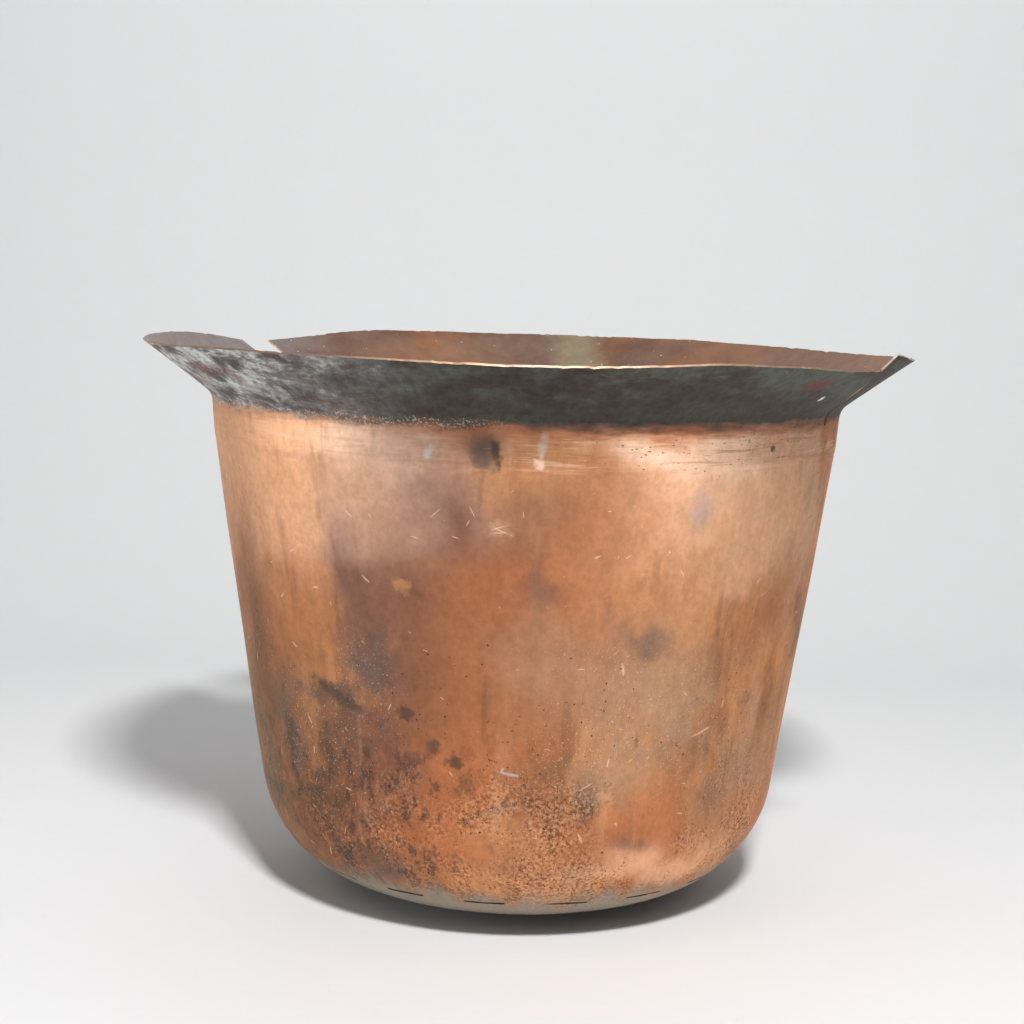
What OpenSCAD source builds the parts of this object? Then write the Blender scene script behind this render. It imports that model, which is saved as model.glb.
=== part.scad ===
// Copper boiler for the laundry: a tapering tub of hand-worked sheet with a turned-out flange.
// Two side sheets and a dished bottom meet in cramped seams: the edges are cut into tabs that
// lap alternately outside and inside the next sheet, hammered flush and brazed.
// Millimetres, +Z up. The origin is the middle of the flat that the tub stands on,
// the front of the tub faces -Y, and azimuths run anticlockwise from +X.

/* [Body] */
// Outside diameter at the neck, where the flange turns out
neck_d = 510; // [440:1:580]
// Height of the neck over the floor
neck_h = 403; // [340:1:460]
// Height of the upright band under the neck
band_h = 32; // [20:1:50]
// Lean of the band from upright, in degrees
band_lean = 5; // [3:0.5:7]
// How far the crease under the band steps in
crease_in = 0.8; // [0.3:0.1:1.5]
// Height of the crease under the band
crease_h = 4; // [2:0.5:8]
// Taper of the wall from upright, in degrees
wall_taper = 7.95; // [6:0.05:10]
// Outside radius of the corner between wall and bottom
corner_r = 97; // [75:1:115]
// Outside radius of the domed bottom
dome_r = 420; // [330:5:600]
// Diameter of the flat in the middle of the bottom
foot_d = 90; // [60:1:120]

/* [Sheets] */
// Thickness of the side sheets
side_t = 1.6; // [1.2:0.1:2.4]
// Thickness of the bottom sheet
dish_t = 2.2; // [1.6:0.1:3]

/* [Flange] */
// Width of the flange, measured up its slope from the neck
flange_w = 69; // [50:1:85]
// Rise of the flange over level, in degrees
flange_rise = 36; // [30:0.5:42]
// Radius of the bend at the neck, on the outside
neck_bend_r = 14; // [8:1:20]
// Swing of the rim's small waves, in degrees of rise
wave_swing = 1.3; // [0:0.1:3]
// Count of the rim's small waves
wave_n = 6; // [4:1:9]
// How much more the flange rises at the left than at the right, in degrees
tilt_swing = 1.5; // [0:0.1:4]

/* [Bottom seam] */
// Depth of the cramps, measured along the sheet
cramp_l = 14; // [10:0.5:18]
// Count of the cramps that lap outside the bottom sheet
cramp_n = 18; // [12:1:24]
// Azimuth of the middle of one outer cramp
cramp_az = -96.7; // [-110:0.1:-80]
// How far under level the seam lies on the corner, in degrees
seam_dip = 48; // [42:0.5:56]
// Opening between the ends of the outer cramps and the thick part of the bottom sheet
mouth_gap = 1.5; // [0.5:0.1:2.5]

/* [Side seams] */
// Azimuth of the seam at the right
right_seam_az = -26; // [-40:1:-15]
// Azimuth of the seam at the left, round the back
left_seam_az = 143; // [125:1:160]
// Width of the lap in a side seam
side_lap_w = 14; // [10:0.5:20]
// Count of the cramps up a side seam
side_cramp_n = 10; // [6:2:14]

/* [Slits] */
// Gap of the right slit just over the neck
right_root_gap = 14; // [6:1:20]
// Gap of the right slit at the rim
right_mouth_gap = 64; // [25:1:75]
// Share of the right slit that is cut from the front sheet
right_front_share = 0.75; // [0.3:0.05:0.9]
// Gap of the left slit just over the neck
left_root_gap = 28; // [10:1:32]
// Gap of the left slit at the rim
left_mouth_gap = 33; // [28:1:50]
// Share of the left slit that is cut from the front sheet
left_front_share = 0.55; // [0.3:0.05:0.7]
// Width of flange that is bent beside a slit
bent_w = 110; // [60:5:150]
// Droop of the front sheet's corner at the right slit, in degrees
right_droop = 2; // [0:0.5:8]
// Lift of the rear sheet's corner at the right slit, in degrees
right_lift = 8; // [0:0.5:12]
// Further curl of that corner at the rim, in degrees
right_curl = 24; // [0:1:35]
// Droop of both corners at the left slit, in degrees
left_droop = 9; // [0:0.5:12]

/* [Braze] */
// Space between lapped sheets
film_gap = 0.3; // [0.2:0.02:0.4]
// Clearance of the braze in that space, on each face
film_clear = 0.04; // [0.02:0.01:0.06]

/* [Hidden] */
$fn = 180;
copper = [0.72, 0.42, 0.26];
worn_copper = [0.66, 0.38, 0.24];
dish_copper = [0.50, 0.36, 0.27];
brass = [0.78, 0.64, 0.36];

neck_r = neck_d / 2;
foot_r = foot_d / 2;
arc_steps = 12;        // steps in each arc of the outline
lap_steps = 3;         // steps in the short arc of a lap
column_deg = 3;        // width of one column of the flange
bend_rows = 4;         // rows round the neck bend
slope_rows = 5;        // rows up the flange
neck_row = 2;          // first row of the neck bend, over the two rows of the root
slope_row = neck_row + bend_rows;
flange_rows = slope_row + slope_rows;
wave_az = -62;         // azimuth of one crest of the rim's waves
tilt_az = 20;          // azimuth where the flange rises least
curl_w = 45;           // width of the corner that curls
root_sink = 1.2;       // how far the flange is rooted in the top of the wall
root_swell = 0.25;     // how far the root passes from inside the wall's skins to outside them
lap_margin = 6;        // height of plain butt joint between the laps of two seams
beyond = 3;            // how far a cutter reaches past what it cuts

// The wall: a band, a crease and a straight taper, rolled round a corner into the dome.
wall_n = [cos(wall_taper), -sin(wall_taper)];
wall_down = [-sin(wall_taper), -cos(wall_taper)];
crease_top = [neck_r - band_h * tan(band_lean), neck_h - band_h];
crease_foot = crease_top - [crease_in, crease_h];
dome_c = [foot_r, dome_r];
corner_start = crease_foot - corner_r * wall_n;
corner_from_dome = corner_start - dome_c;
corner_along = corner_from_dome * wall_down;
corner_run = -corner_along + sqrt(corner_along * corner_along
    - corner_from_dome * corner_from_dome + pow(dome_r - corner_r, 2));
corner_c = corner_start + corner_run * wall_down;
to_corner = corner_c - dome_c;
dome_edge_dip = atan2(-to_corner[1], to_corner[0]);

// The neck bend ends the straight wall where the flange starts to turn.
turn_max = 90 - band_lean - flange_rise + left_droop + wave_swing + tilt_swing;
bend_start = (neck_bend_r + side_t) * tan(turn_max / 2);
joint_z = neck_h - bend_start * cos(band_lean);
joint_r = neck_r - bend_start * sin(band_lean);

// The bottom seam: laps run between two dips on the corner.
cramp_dip = cramp_l / corner_r * 180 / PI;
lap_top_dip = seam_dip - cramp_dip;
gap_dip = film_gap / corner_r * 180 / PI;
mouth_dip = mouth_gap / corner_r * 180 / PI;
seam_r = corner_c[0] + corner_r * cos(seam_dip);
cramp_pitch = 360 / cramp_n;
gap_az = film_gap / seam_r * 180 / PI;

// The side seams: laps run from just over the bottom seam to the neck bend.
side_lap_az = side_lap_w / neck_r * 180 / PI;
lap_top_z = corner_c[1] - corner_r * sin(lap_top_dip);
side_lap_foot_z = lap_top_z + lap_margin;
side_lap_top_z = joint_z - root_sink - film_gap / 2;
side_cramp_h = (side_lap_top_z - side_lap_foot_z) / side_cramp_n;
butt_az = film_gap / neck_r * 180 / PI;
clear_az = film_clear / seam_r * 180 / PI;
film_outer = side_t / 2 - film_gap / 2 + film_clear;
film_inner = side_t / 2 + film_gap / 2 - film_clear;
front_start = left_seam_az - 360;

function lerp(a, b, f) = a + (b - a) * f;
function polar(c, r, a) = c + r * [cos(a), sin(a)];

// Outline of the side sheet, at a depth under its outer skin, down to a dip on the corner.
function side_line(depth, dip) = concat(
    [[joint_r - depth / cos(band_lean), joint_z]],
    [crease_top - depth * wall_n, crease_foot - depth * wall_n],
    [for (i = [0:arc_steps]) polar(corner_c, corner_r - depth, -lerp(wall_taper, dip, i / arc_steps))]);

function corner_line(depth, dip_a, dip_b) =
    [for (i = [0:arc_steps]) polar(corner_c, corner_r - depth, -lerp(dip_a, dip_b, i / arc_steps))];

function dome_line(depth) =
    [for (i = [1:arc_steps]) polar(dome_c, dome_r - depth, -lerp(dome_edge_dip, 90, i / arc_steps))];

function band_of(outer, inner) = concat(outer, [for (i = [len(inner) - 1:-1:0]) inner[i]]);

module sector(from, to) {
    rotate([0, 0, from]) rotate_extrude(angle = to - from) children();
}

// A layer of the side sheet between two depths, and one of the lapped part of the corner.
module wall_layer(depth_a, depth_b, from, to) {
    sector(from, to) polygon(band_of(side_line(depth_a, seam_dip), side_line(depth_b, seam_dip)));
}

function lap_line(depth, dip_a, dip_b) =
    [for (i = [0:lap_steps]) polar(corner_c, corner_r - depth, -lerp(dip_a, dip_b, i / lap_steps))];

module lap_layer(depth_a, depth_b, dip_a, dip_b, from, to) {
    sector(from, to) polygon(band_of(lap_line(depth_a, dip_a, dip_b), lap_line(depth_b, dip_a, dip_b)));
}

// What the cramps of the bottom seam take off a sheet, from dip_a down: its inner half to dip_b
// where it laps outside, and its outer half to dip_c where it laps inside.
// phase 0 is for the side sheets and 1 for the bottom.
module cramp_cuts(phase, dip_a, dip_b, dip_c) {
    half = cramp_pitch / 4 + gap_az / 2;
    for (k = [0:cramp_n - 1]) {
        az = cramp_az + (k + phase / 2) * cramp_pitch;
        lap_layer(side_t / 2 - film_gap / 2, side_t + beyond, dip_a, dip_b, az - half, az + half);
        lap_layer(-beyond, side_t / 2 + film_gap / 2, dip_a, dip_c,
            az + cramp_pitch / 2 - half, az + cramp_pitch / 2 + half);
    }
}

// Slabs over some of the cramps of a side seam, grown by a margin above and below.
module side_slabs(first, step, h, margin) {
    for (k = [first:step:side_cramp_n])
        translate([0, 0, side_lap_foot_z + k * side_cramp_h - margin])
            cylinder(r = neck_r + beyond, h = h + 2 * margin);
}

// What the cramps of a side seam take off one sheet. side is 1 where the sheet starts at the
// seam and -1 where it ends there. The front sheet laps outside at every even cramp.
module side_seam_cuts(seam, side, front) {
    root = seam + side * (side_lap_az / 2 + butt_az);
    past_tip = seam - side * (side_lap_az / 2 + butt_az);
    butt = seam + side * butt_az / 2;
    from = min(root, past_tip);
    to = max(root, past_tip);
    intersection() {
        wall_layer(side_t / 2 - film_gap / 2, side_t + beyond, from, to);
        side_slabs(front ? 0 : 1, 2, side_cramp_h, film_gap / 2);
    }
    intersection() {
        wall_layer(-beyond, side_t / 2 + film_gap / 2, from, to);
        side_slabs(front ? 1 : 0, 2, side_cramp_h, film_gap / 2);
    }
    intersection() {
        wall_layer(-beyond, side_t + beyond, from, to);
        translate([0, 0, side_lap_top_z - film_gap / 2]) cylinder(r = neck_r + beyond, h = beyond);
    }
    intersection() {
        wall_layer(-beyond, side_t + beyond, min(butt, past_tip), max(butt, past_tip));
        cylinder(r = neck_r + beyond, h = side_lap_foot_z);
    }
}

// The flange is lofted: columns run up it at even shares of the way between its two cut edges.
// Rise of the flange at an azimuth: small waves, a tilt, and a bend beside each slit.
function near_slit(az, seam) = pow(max(0, 1 - abs(az - seam) * PI / 180 * neck_r / bent_w), 2);
function near_corner(az, seam) = pow(max(0, 1 - abs(az - seam) * PI / 180 * neck_r / curl_w), 2);

function wavy_rise(az) = flange_rise
    + wave_swing * cos(wave_n * (az - wave_az))
    - tilt_swing * cos(az - tilt_az);

function front_rise(az) = wavy_rise(az)
    - right_droop * near_slit(az, right_seam_az)
    - left_droop * near_slit(az, front_start);

function rear_rise(az) = wavy_rise(az)
    + right_lift * near_slit(az, right_seam_az)
    - left_droop * near_slit(az, left_seam_az);

function rear_curl(az) = right_curl * near_corner(az, right_seam_az);

function heading(a) = [cos(a), sin(a)];
function inward(a) = [-sin(a), cos(a)];

// Outer skin of the flange in its own upright plane: [point, heading of the sheet there].
function bend_point(rise, f) =
    let (band_a = 90 - band_lean,
        run = neck_bend_r * tan((band_a - rise) / 2),
        start = [neck_r, neck_h] - run * heading(band_a),
        c = start - neck_bend_r * inward(band_a),
        a = lerp(band_a, rise, f))
    [c + neck_bend_r * inward(a), a];

function slope_point(rise, curl, i) =
    i == 0 ? bend_point(rise, 1)
    : let (last = slope_point(rise, curl, i - 1),
        step = (flange_w - neck_bend_r * tan((90 - band_lean - rise) / 2)) / slope_rows,
        mid_a = rise + curl * pow((i - 0.5) / slope_rows, 2))
    [last[0] + step * heading(mid_a), rise + curl * pow(i / slope_rows, 2)];

// Depth of the root's skins inside the wall's, at its foot and at its top.
function root_depth(row) = row == 0 ? root_swell : -root_swell;
function root_line(depth, row) =
    let (sink = row == 0 ? root_sink : 0)
    [joint_r - sink * tan(band_lean) - depth, joint_z - sink];

function skin_point(rise, curl, row) =
    row < neck_row ? [root_line(root_depth(row), row), 90 - band_lean]
    : row <= slope_row ? bend_point(rise, (row - neck_row) / bend_rows)
    : slope_point(rise, curl, row - slope_row);

function inner_point(p, row) =
    row < neck_row ? root_line(side_t / cos(band_lean) - root_depth(row), row)
    : p[0] + side_t * inward(p[1]);

// Gap of a slit at a row: it opens round the neck bend, then widens evenly to the rim.
function slit_gap(root_gap, mouth_gap, row) =
    row < neck_row ? film_gap
    : row <= slope_row ? root_gap * sqrt((row - neck_row + 1) / (bend_rows + 1))
    : lerp(root_gap, mouth_gap, (row - slope_row) / slope_rows);

function right_cut(share, row) =
    share * slit_gap(right_root_gap, right_mouth_gap, row) / row_r(row) * 180 / PI;

function left_cut(share, row) =
    share * slit_gap(left_root_gap, left_mouth_gap, row) / row_r(row) * 180 / PI;

function row_r(row) = skin_point(flange_rise, 0, row)[0][0];

function at_az(p, az) = [p[0] * cos(az), p[0] * sin(az), p[1]];

// starts and ends hold the azimuth of each row's two cut edges. rises and curls are given by
// the flange's side: front for one sheet and rear for the other.
function flange_points(starts, ends, columns, front) =
    [for (face = [0, 1], row = [0:flange_rows], column = [0:columns])
        let (az = lerp(starts[row], ends[row], column / columns),
            rise = front ? front_rise(az) : rear_rise(az),
            curl = front ? 0 : rear_curl(az),
            p = skin_point(rise, curl, row))
        at_az(face == 0 ? p[0] : inner_point(p, row), az)];

function grid_faces(rows, columns, at, flip) =
    [for (r = [0:rows - 1], c = [0:columns - 1])
        let (a = at(r, c), b = at(r, c + 1), d = at(r + 1, c + 1), e = at(r + 1, c))
        each flip ? [[a, b, d], [a, d, e]] : [[a, d, b], [a, e, d]]];

module flange(starts, ends, front) {
    columns = ceil((ends[0] - starts[0]) / column_deg);
    per_face = (flange_rows + 1) * (columns + 1);
    outer = function(r, c) r * (columns + 1) + c;
    inner = function(r, c) per_face + r * (columns + 1) + c;
    first_edge = function(r, c) c == 0 ? outer(r, 0) : inner(r, 0);
    last_edge = function(r, c) c == 0 ? outer(r, columns) : inner(r, columns);
    foot = function(r, c) r == 0 ? outer(0, c) : inner(0, c);
    rim = function(r, c) r == 0 ? outer(flange_rows, c) : inner(flange_rows, c);
    polyhedron(points = flange_points(starts, ends, columns, front), faces = concat(
        grid_faces(flange_rows, columns, outer, false),
        grid_faces(flange_rows, columns, inner, true),
        grid_faces(flange_rows, 1, first_edge, true),
        grid_faces(flange_rows, 1, last_edge, false),
        grid_faces(1, columns, foot, true),
        grid_faces(1, columns, rim, false)));
}

module side_wall(start, end, front) {
    difference() {
        wall_layer(0, side_t, start - side_lap_az / 2, end + side_lap_az / 2);
        cramp_cuts(0, lap_top_dip - gap_dip / 2, seam_dip + gap_dip, seam_dip + gap_dip);
        side_seam_cuts(start, 1, front);
        side_seam_cuts(end, -1, front);
    }
}

module front_side_sheet() {
    rows = [0:flange_rows];
    color(copper) {
        side_wall(front_start, right_seam_az, true);
        flange([for (row = rows) front_start + left_cut(left_front_share, row)],
            [for (row = rows) right_seam_az - right_cut(right_front_share, row)], true);
    }
}

module rear_side_sheet() {
    rows = [0:flange_rows];
    color(worn_copper) {
        side_wall(right_seam_az, left_seam_az, false);
        flange([for (row = rows) right_seam_az + right_cut(1 - right_front_share, row)],
            [for (row = rows) left_seam_az - left_cut(1 - left_front_share, row)], false);
    }
}

// The bottom is a disc beaten to a shallow dome. Its turned-up edge is scarfed to the side
// sheets' thickness where it is cramped between them. The side sheets' outer cramps don't reach
// its thick part, which leaves a dark slot at the end of each.
module bottom_dish() {
    scarf_from = lap_top_dip - gap_dip;
    scarf_to = seam_dip + gap_dip / 2;
    color(dish_copper) difference() {
        rotate_extrude() polygon(band_of(
            concat(corner_line(0, lap_top_dip, dome_edge_dip), dome_line(0), [[0, 0]]),
            concat(corner_line(dish_t, lap_top_dip, dome_edge_dip), dome_line(dish_t), [[0, dish_t]])));
        rotate_extrude() polygon(band_of(lap_line(side_t, scarf_from, scarf_to),
            lap_line(dish_t + beyond, scarf_from, scarf_to)));
        cramp_cuts(1, scarf_from, scarf_to, seam_dip + mouth_dip);
    }
}

// The braze is the film between the lapped halves, with a fin between each two cramps.
module bottom_seam_braze() {
    fin_half = gap_az / 2 - clear_az;
    color(brass) {
        rotate_extrude() polygon(band_of(lap_line(film_outer, lap_top_dip, seam_dip),
            lap_line(film_inner, lap_top_dip, seam_dip)));
        for (k = [0:2 * cramp_n - 1]) {
            az = cramp_az + (k + 0.5) * cramp_pitch / 2;
            lap_layer(0, side_t, lap_top_dip, seam_dip, az - fin_half, az + fin_half);
        }
    }
}

module side_seam_braze(seam) {
    butt_half = butt_az / 2 - clear_az;
    color(brass) {
        intersection() {
            wall_layer(film_outer, film_inner, seam - side_lap_az / 2, seam + side_lap_az / 2);
            translate([0, 0, side_lap_foot_z])
                cylinder(r = neck_r, h = side_lap_top_z - side_lap_foot_z);
        }
        intersection() {
            wall_layer(0, side_t, seam - side_lap_az / 2, seam + side_lap_az / 2);
            side_slabs(0, 1, 0, film_gap / 2 - film_clear);
        }
        intersection() {
            wall_layer(0, side_t, seam - butt_half, seam + butt_half);
            translate([0, 0, lap_top_z + film_gap])
                cylinder(r = neck_r, h = side_lap_foot_z - lap_top_z - film_gap);
        }
    }
}

module right_seam_braze() { side_seam_braze(right_seam_az); }

module left_seam_braze() { side_seam_braze(left_seam_az); }

front_side_sheet();
rear_side_sheet();
bottom_dish();
bottom_seam_braze();
right_seam_braze();
left_seam_braze();
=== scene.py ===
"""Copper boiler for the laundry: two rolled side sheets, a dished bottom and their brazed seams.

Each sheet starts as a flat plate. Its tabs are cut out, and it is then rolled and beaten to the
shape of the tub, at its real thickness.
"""

import math

import bpy
import numpy as np
from mathutils import Euler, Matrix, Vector, noise


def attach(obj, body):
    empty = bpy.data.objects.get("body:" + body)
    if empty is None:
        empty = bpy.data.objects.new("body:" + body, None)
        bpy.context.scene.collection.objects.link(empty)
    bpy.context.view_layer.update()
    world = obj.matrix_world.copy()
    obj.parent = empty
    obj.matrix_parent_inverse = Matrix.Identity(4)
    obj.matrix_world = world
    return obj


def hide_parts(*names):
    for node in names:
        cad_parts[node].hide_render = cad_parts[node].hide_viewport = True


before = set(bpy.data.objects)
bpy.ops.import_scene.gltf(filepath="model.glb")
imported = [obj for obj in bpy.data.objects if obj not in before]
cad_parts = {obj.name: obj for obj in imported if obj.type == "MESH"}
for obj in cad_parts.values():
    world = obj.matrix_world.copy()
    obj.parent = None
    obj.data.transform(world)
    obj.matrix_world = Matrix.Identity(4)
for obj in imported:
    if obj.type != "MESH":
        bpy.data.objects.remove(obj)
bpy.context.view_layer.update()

bl_info = {
    "name": "Copper Wash Boiler",
    "version": (1, 0, 0),
    "blender": (4, 5, 0),
    "location": "View3D > Sidebar > Boiler",
    "description": "Builds a beaten copper wash boiler with cramped seams and worn finishes",
    "category": "Add Mesh",
}


# ---------------------------------------------------------------- settings


def number(name, default, text, **options):
    return bpy.props.FloatProperty(name=name, description=text, default=default, **options)


def length(name, default, text, high=3.0):
    return number(name, default, text, min=0.0, max=high, unit="LENGTH", precision=4)


def degrees(name, default, text):
    return number(name, math.radians(default), text, subtype="ANGLE")


def count(name, default, text, low):
    return bpy.props.IntProperty(name=name, description=text, default=default, min=low)


def colour(name, default, text):
    return bpy.props.FloatVectorProperty(
        name=name, description=text, default=default, size=3, min=0.0, max=1.0, subtype="COLOR"
    )


class BoilerTub(bpy.types.PropertyGroup):
    """Sizes of the body, as in the solids."""

    neck_radius: length("Neck radius", 0.255, "Outside radius where the flange turns out")
    neck_height: length("Neck height", 0.403, "Height of the neck over the floor")
    band_height: length("Band height", 0.032, "Height of the upright band under the neck")
    band_lean: degrees("Band lean", 5.0, "Lean of the band from upright")
    crease_in: length("Crease depth", 0.0008, "How far the crease under the band steps in")
    crease_height: length("Crease height", 0.004, "Height of the crease under the band")
    wall_taper: degrees("Wall taper", 7.95, "Taper of the wall from upright")
    corner_radius: length("Corner radius", 0.097, "Outside radius between wall and bottom")
    dome_radius: length("Dome radius", 0.42, "Outside radius of the domed bottom")
    foot_radius: length("Foot radius", 0.045, "Radius of the flat in the middle of the bottom")
    side_gauge: length("Side sheet", 0.0016, "Thickness of the side sheets")
    dish_gauge: length("Bottom sheet", 0.0022, "Thickness of the bottom sheet")
    unevenness: length("Unevenness", 0.0007, "How far the beaten surface swings in and out")


class BoilerFlange(bpy.types.PropertyGroup):
    """Sizes of the flange and of the two slits in it."""

    width: length("Flange width", 0.069, "Width from the neck to the rim, up the slope")
    rise: degrees("Rise", 36.0, "Rise of the flange over level")
    bend_radius: length("Neck bend", 0.014, "Outside radius of the bend at the neck")
    wave: degrees("Wave", 1.3, "Swing of the rim's small waves")
    tilt: degrees("Tilt", 1.5, "How much more the flange rises at the left")
    right_root: length("Right slit, neck", 0.014, "Gap of the right slit over the neck")
    right_mouth: length("Right slit, rim", 0.064, "Gap of the right slit at the rim")
    left_root: length("Left slit, neck", 0.028, "Gap of the left slit over the neck")
    left_mouth: length("Left slit, rim", 0.033, "Gap of the left slit at the rim")
    ragged: length("Ragged edge", 0.0009, "How uneven the cut rim is")


class BoilerSeams(bpy.types.PropertyGroup):
    """Sizes of the cramped seams."""

    cramp_depth: length("Cramp depth", 0.014, "Length of the tabs of the bottom seam")
    cramp_count: count("Cramps", 18, "Count of the outer tabs of the bottom seam", 6)
    cramp_place: degrees("Cramp place", -96.7, "Azimuth of the middle of one outer tab")
    seam_dip: degrees("Seam dip", 48.0, "How far under level the seam lies on the corner")
    right_place: degrees("Right seam", -26.0, "Azimuth of the seam at the right")
    left_place: degrees("Left seam", 143.0, "Azimuth of the seam at the left")
    lap_width: length("Lap width", 0.014, "Width of the lap of a side seam")
    side_cramps: count("Side cramps", 10, "Count of the tabs up a side seam", 2)
    film: length("Film", 0.0003, "Space between lapped sheets")
    mouth: length("Open mouth", 0.0022, "Widest opening under the end of an outer tab")


class BoilerFinish(bpy.types.PropertyGroup):
    """Colours of the worn copper."""

    copper: colour("Copper", (0.445, 0.178, 0.076), "Clean copper of the wall")
    # Gold is also laid on as painted light and shade: a dent's highlight, the floor's reflection at
    # the foot, and shade over the pale upper left.
    gold: colour("Gold", (0.64, 0.295, 0.125), "Copper with a golden tarnish")
    # Peach is also laid on as painted light: the band's glow, the pale upper wall and left, and the
    # floor's reflection at the foot.
    peach: colour("Peach", (0.84, 0.48, 0.295), "Copper that is rubbed pale")
    # Blush is also laid on as painted light: the band's highlight and the glints on the cut edges.
    blush: colour("Blush", (0.96, 0.66, 0.48), "The palest rubs and the scratches")
    rust: colour("Rust", (0.530, 0.185, 0.075), "Bare orange copper round the foot")
    russet: colour("Russet", (0.376, 0.127, 0.061), "Red brown under the neck")
    # Umber is also laid on as painted shade: beside a dent and over the low front.
    umber: colour("Umber", (0.195, 0.089, 0.048), "Brown tarnish")
    plum: colour("Plum", (0.185, 0.092, 0.070), "Purple brown smoke stains")
    lilac: colour("Lilac", (0.330, 0.205, 0.175), "Grey purple haze")
    slate: colour("Slate", (0.141, 0.107, 0.091), "Grey stains")
    tan: colour("Tan", (0.468, 0.270, 0.162), "Dull haze in the middle of the wall")
    olive: colour("Olive", (0.162, 0.107, 0.058), "Greenish brown at the corner")
    dun: colour("Dun", (0.402, 0.242, 0.156), "Dull edge at the right")
    sand: colour("Sand", (0.56, 0.37, 0.26), "Pale edge at the right")
    # Soot also darkens the underside of the bottom, partly as painted shade.
    soot: colour("Soot", (0.065, 0.045, 0.040), "Dark film where the fire reached")
    film: colour("Grey film", (0.33, 0.325, 0.275), "Greenish grey film at the bottom edge")
    black: colour("Black patina", (0.035, 0.031, 0.029), "Dark patina under the flange")
    green: colour("Verdigris", (0.075, 0.095, 0.080), "Green mottling of the patina")
    # On the flange, the lighter grey at the left is partly painted light from the left lamp.
    stone: colour("Stone", (0.38, 0.365, 0.375), "Grey of the flange at the left")
    chalk: colour("Chalk", (0.60, 0.65, 0.61), "Pale bloom of old verdigris")
    inside: colour("Inside", (0.245, 0.150, 0.112), "Brown copper on the inside")
    brass: colour("Braze", (0.42, 0.28, 0.12), "Tarnished brass in the seams")
    rouge: colour("Rouge", (0.14, 0.030, 0.022), "Red spots on the flange")
    white: colour("White", (0.78, 0.76, 0.72), "Dried drips")
    pit: colour("Pits", (0.065, 0.030, 0.020), "Floor of the pits")
    hollow: colour("Hollows", (0.075, 0.033, 0.021), "Hollows between the grit low down")
    # Mouths: dirt and painted shade in the open ends of the bottom seam.
    mouth: colour("Seam mouths", (0.012, 0.008, 0.007), "Dark mouths along the bottom seam")
    run: colour("Green run", (0.30, 0.28, 0.17), "Greenish run on the inside")
    dirt: colour("Dirt", (0.05, 0.022, 0.015), "Dirt on the cut edges in the seams")


class BoilerStage(bpy.types.PropertyGroup):
    """Camera and light of the studio."""

    distance: length("Camera distance", 1.5, "From the tub's axis to the camera", high=10.0)
    height: length("Camera height", 0.5005, "Height of the camera over the floor")
    pitch: degrees("Pitch", 7.352, "How far the camera looks down")
    yaw: degrees("Yaw", 0.373, "How far the camera looks to the left")
    roll: degrees("Roll", 1.61, "How far the camera is turned about its own axis")
    lens: number("Lens", 63.98, "Focal length for a 36 mm sensor", unit="CAMERA")
    key_power: number("Key light", 4.2, "Power of the soft light at the right")
    fill_power: number("Fill light", 6.0, "Power of the soft light at the left")
    floor_power: number("Floor light", 88.0, "Power of the light over the floor in front")
    back_power: number("Back light", 10.0, "Power of the light on the backdrop")
    sky: number("Room light", 0.08, "Brightness of the room all round")


# ---------------------------------------------------------------- objects


def deselect_all():
    for chosen in list(bpy.context.selected_objects):
        chosen.select_set(False)
    bpy.context.view_layer.objects.active = None


def make_active(piece):
    deselect_all()
    piece.select_set(True)
    bpy.context.view_layer.objects.active = piece


def read_points(piece):
    points = np.empty(len(piece.data.vertices) * 3)
    piece.data.vertices.foreach_get("co", points)
    return points.reshape(-1, 3)


def write_points(piece, points):
    piece.data.vertices.foreach_set("co", np.ascontiguousarray(points, float).ravel())
    piece.data.update()


def apply_modifier(piece, kind, **settings):
    make_active(piece)
    modifier = piece.modifiers.new(kind.title(), kind)
    for name, value in settings.items():
        setattr(modifier, name, value)
    bpy.ops.object.modifier_apply(modifier=modifier.name)


def delete_faces(piece, chosen):
    make_active(piece)
    bpy.context.tool_settings.mesh_select_mode = (False, False, True)
    bpy.ops.object.mode_set(mode="EDIT")
    bpy.ops.mesh.select_all(action="DESELECT")
    bpy.ops.object.mode_set(mode="OBJECT")
    piece.data.polygons.foreach_set("select", chosen)
    bpy.ops.object.mode_set(mode="EDIT")
    bpy.ops.mesh.delete(type="FACE")
    bpy.ops.object.mode_set(mode="OBJECT")


def face_centres(piece):
    centres = np.empty(len(piece.data.polygons) * 3)
    piece.data.polygons.foreach_get("center", centres)
    return centres.reshape(-1, 3)


OUTSIDE, INSIDE, CUT_EDGE = 0, 1, 2
SHARP_ANGLE = math.radians(35)  # faces that meet at more than this keep a sharp edge


def plate_skins(centres):
    """Which skin of a flat plate each of its faces belongs to."""
    depth = centres[:, 2]
    return np.where(depth > -0.01, OUTSIDE, np.where(depth < -0.99, INSIDE, CUT_EDGE))


def cut_plate(name, cut_out):
    """A flat plate one unit thick, of one unit square for each cell of cut_out that is False."""
    columns, rows = cut_out.shape
    deselect_all()
    bpy.ops.mesh.primitive_grid_add(x_subdivisions=columns, y_subdivisions=rows, size=2.0)
    plate = bpy.context.object
    plate.name = plate.data.name = name
    unit_squares = (read_points(plate) + [1, 1, 0]) / [2, 2, 1] * np.array([columns, rows, 1.0])
    write_points(plate, unit_squares)
    cells = face_centres(plate).astype(int)
    delete_faces(plate, cut_out[cells[:, 0], cells[:, 1]])
    apply_modifier(plate, "SOLIDIFY", thickness=1.0, offset=-1.0)
    skins = plate_skins(face_centres(plate))
    plate.data.polygons.foreach_set("material_index", skins.astype(np.int32))
    return plate


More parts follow.
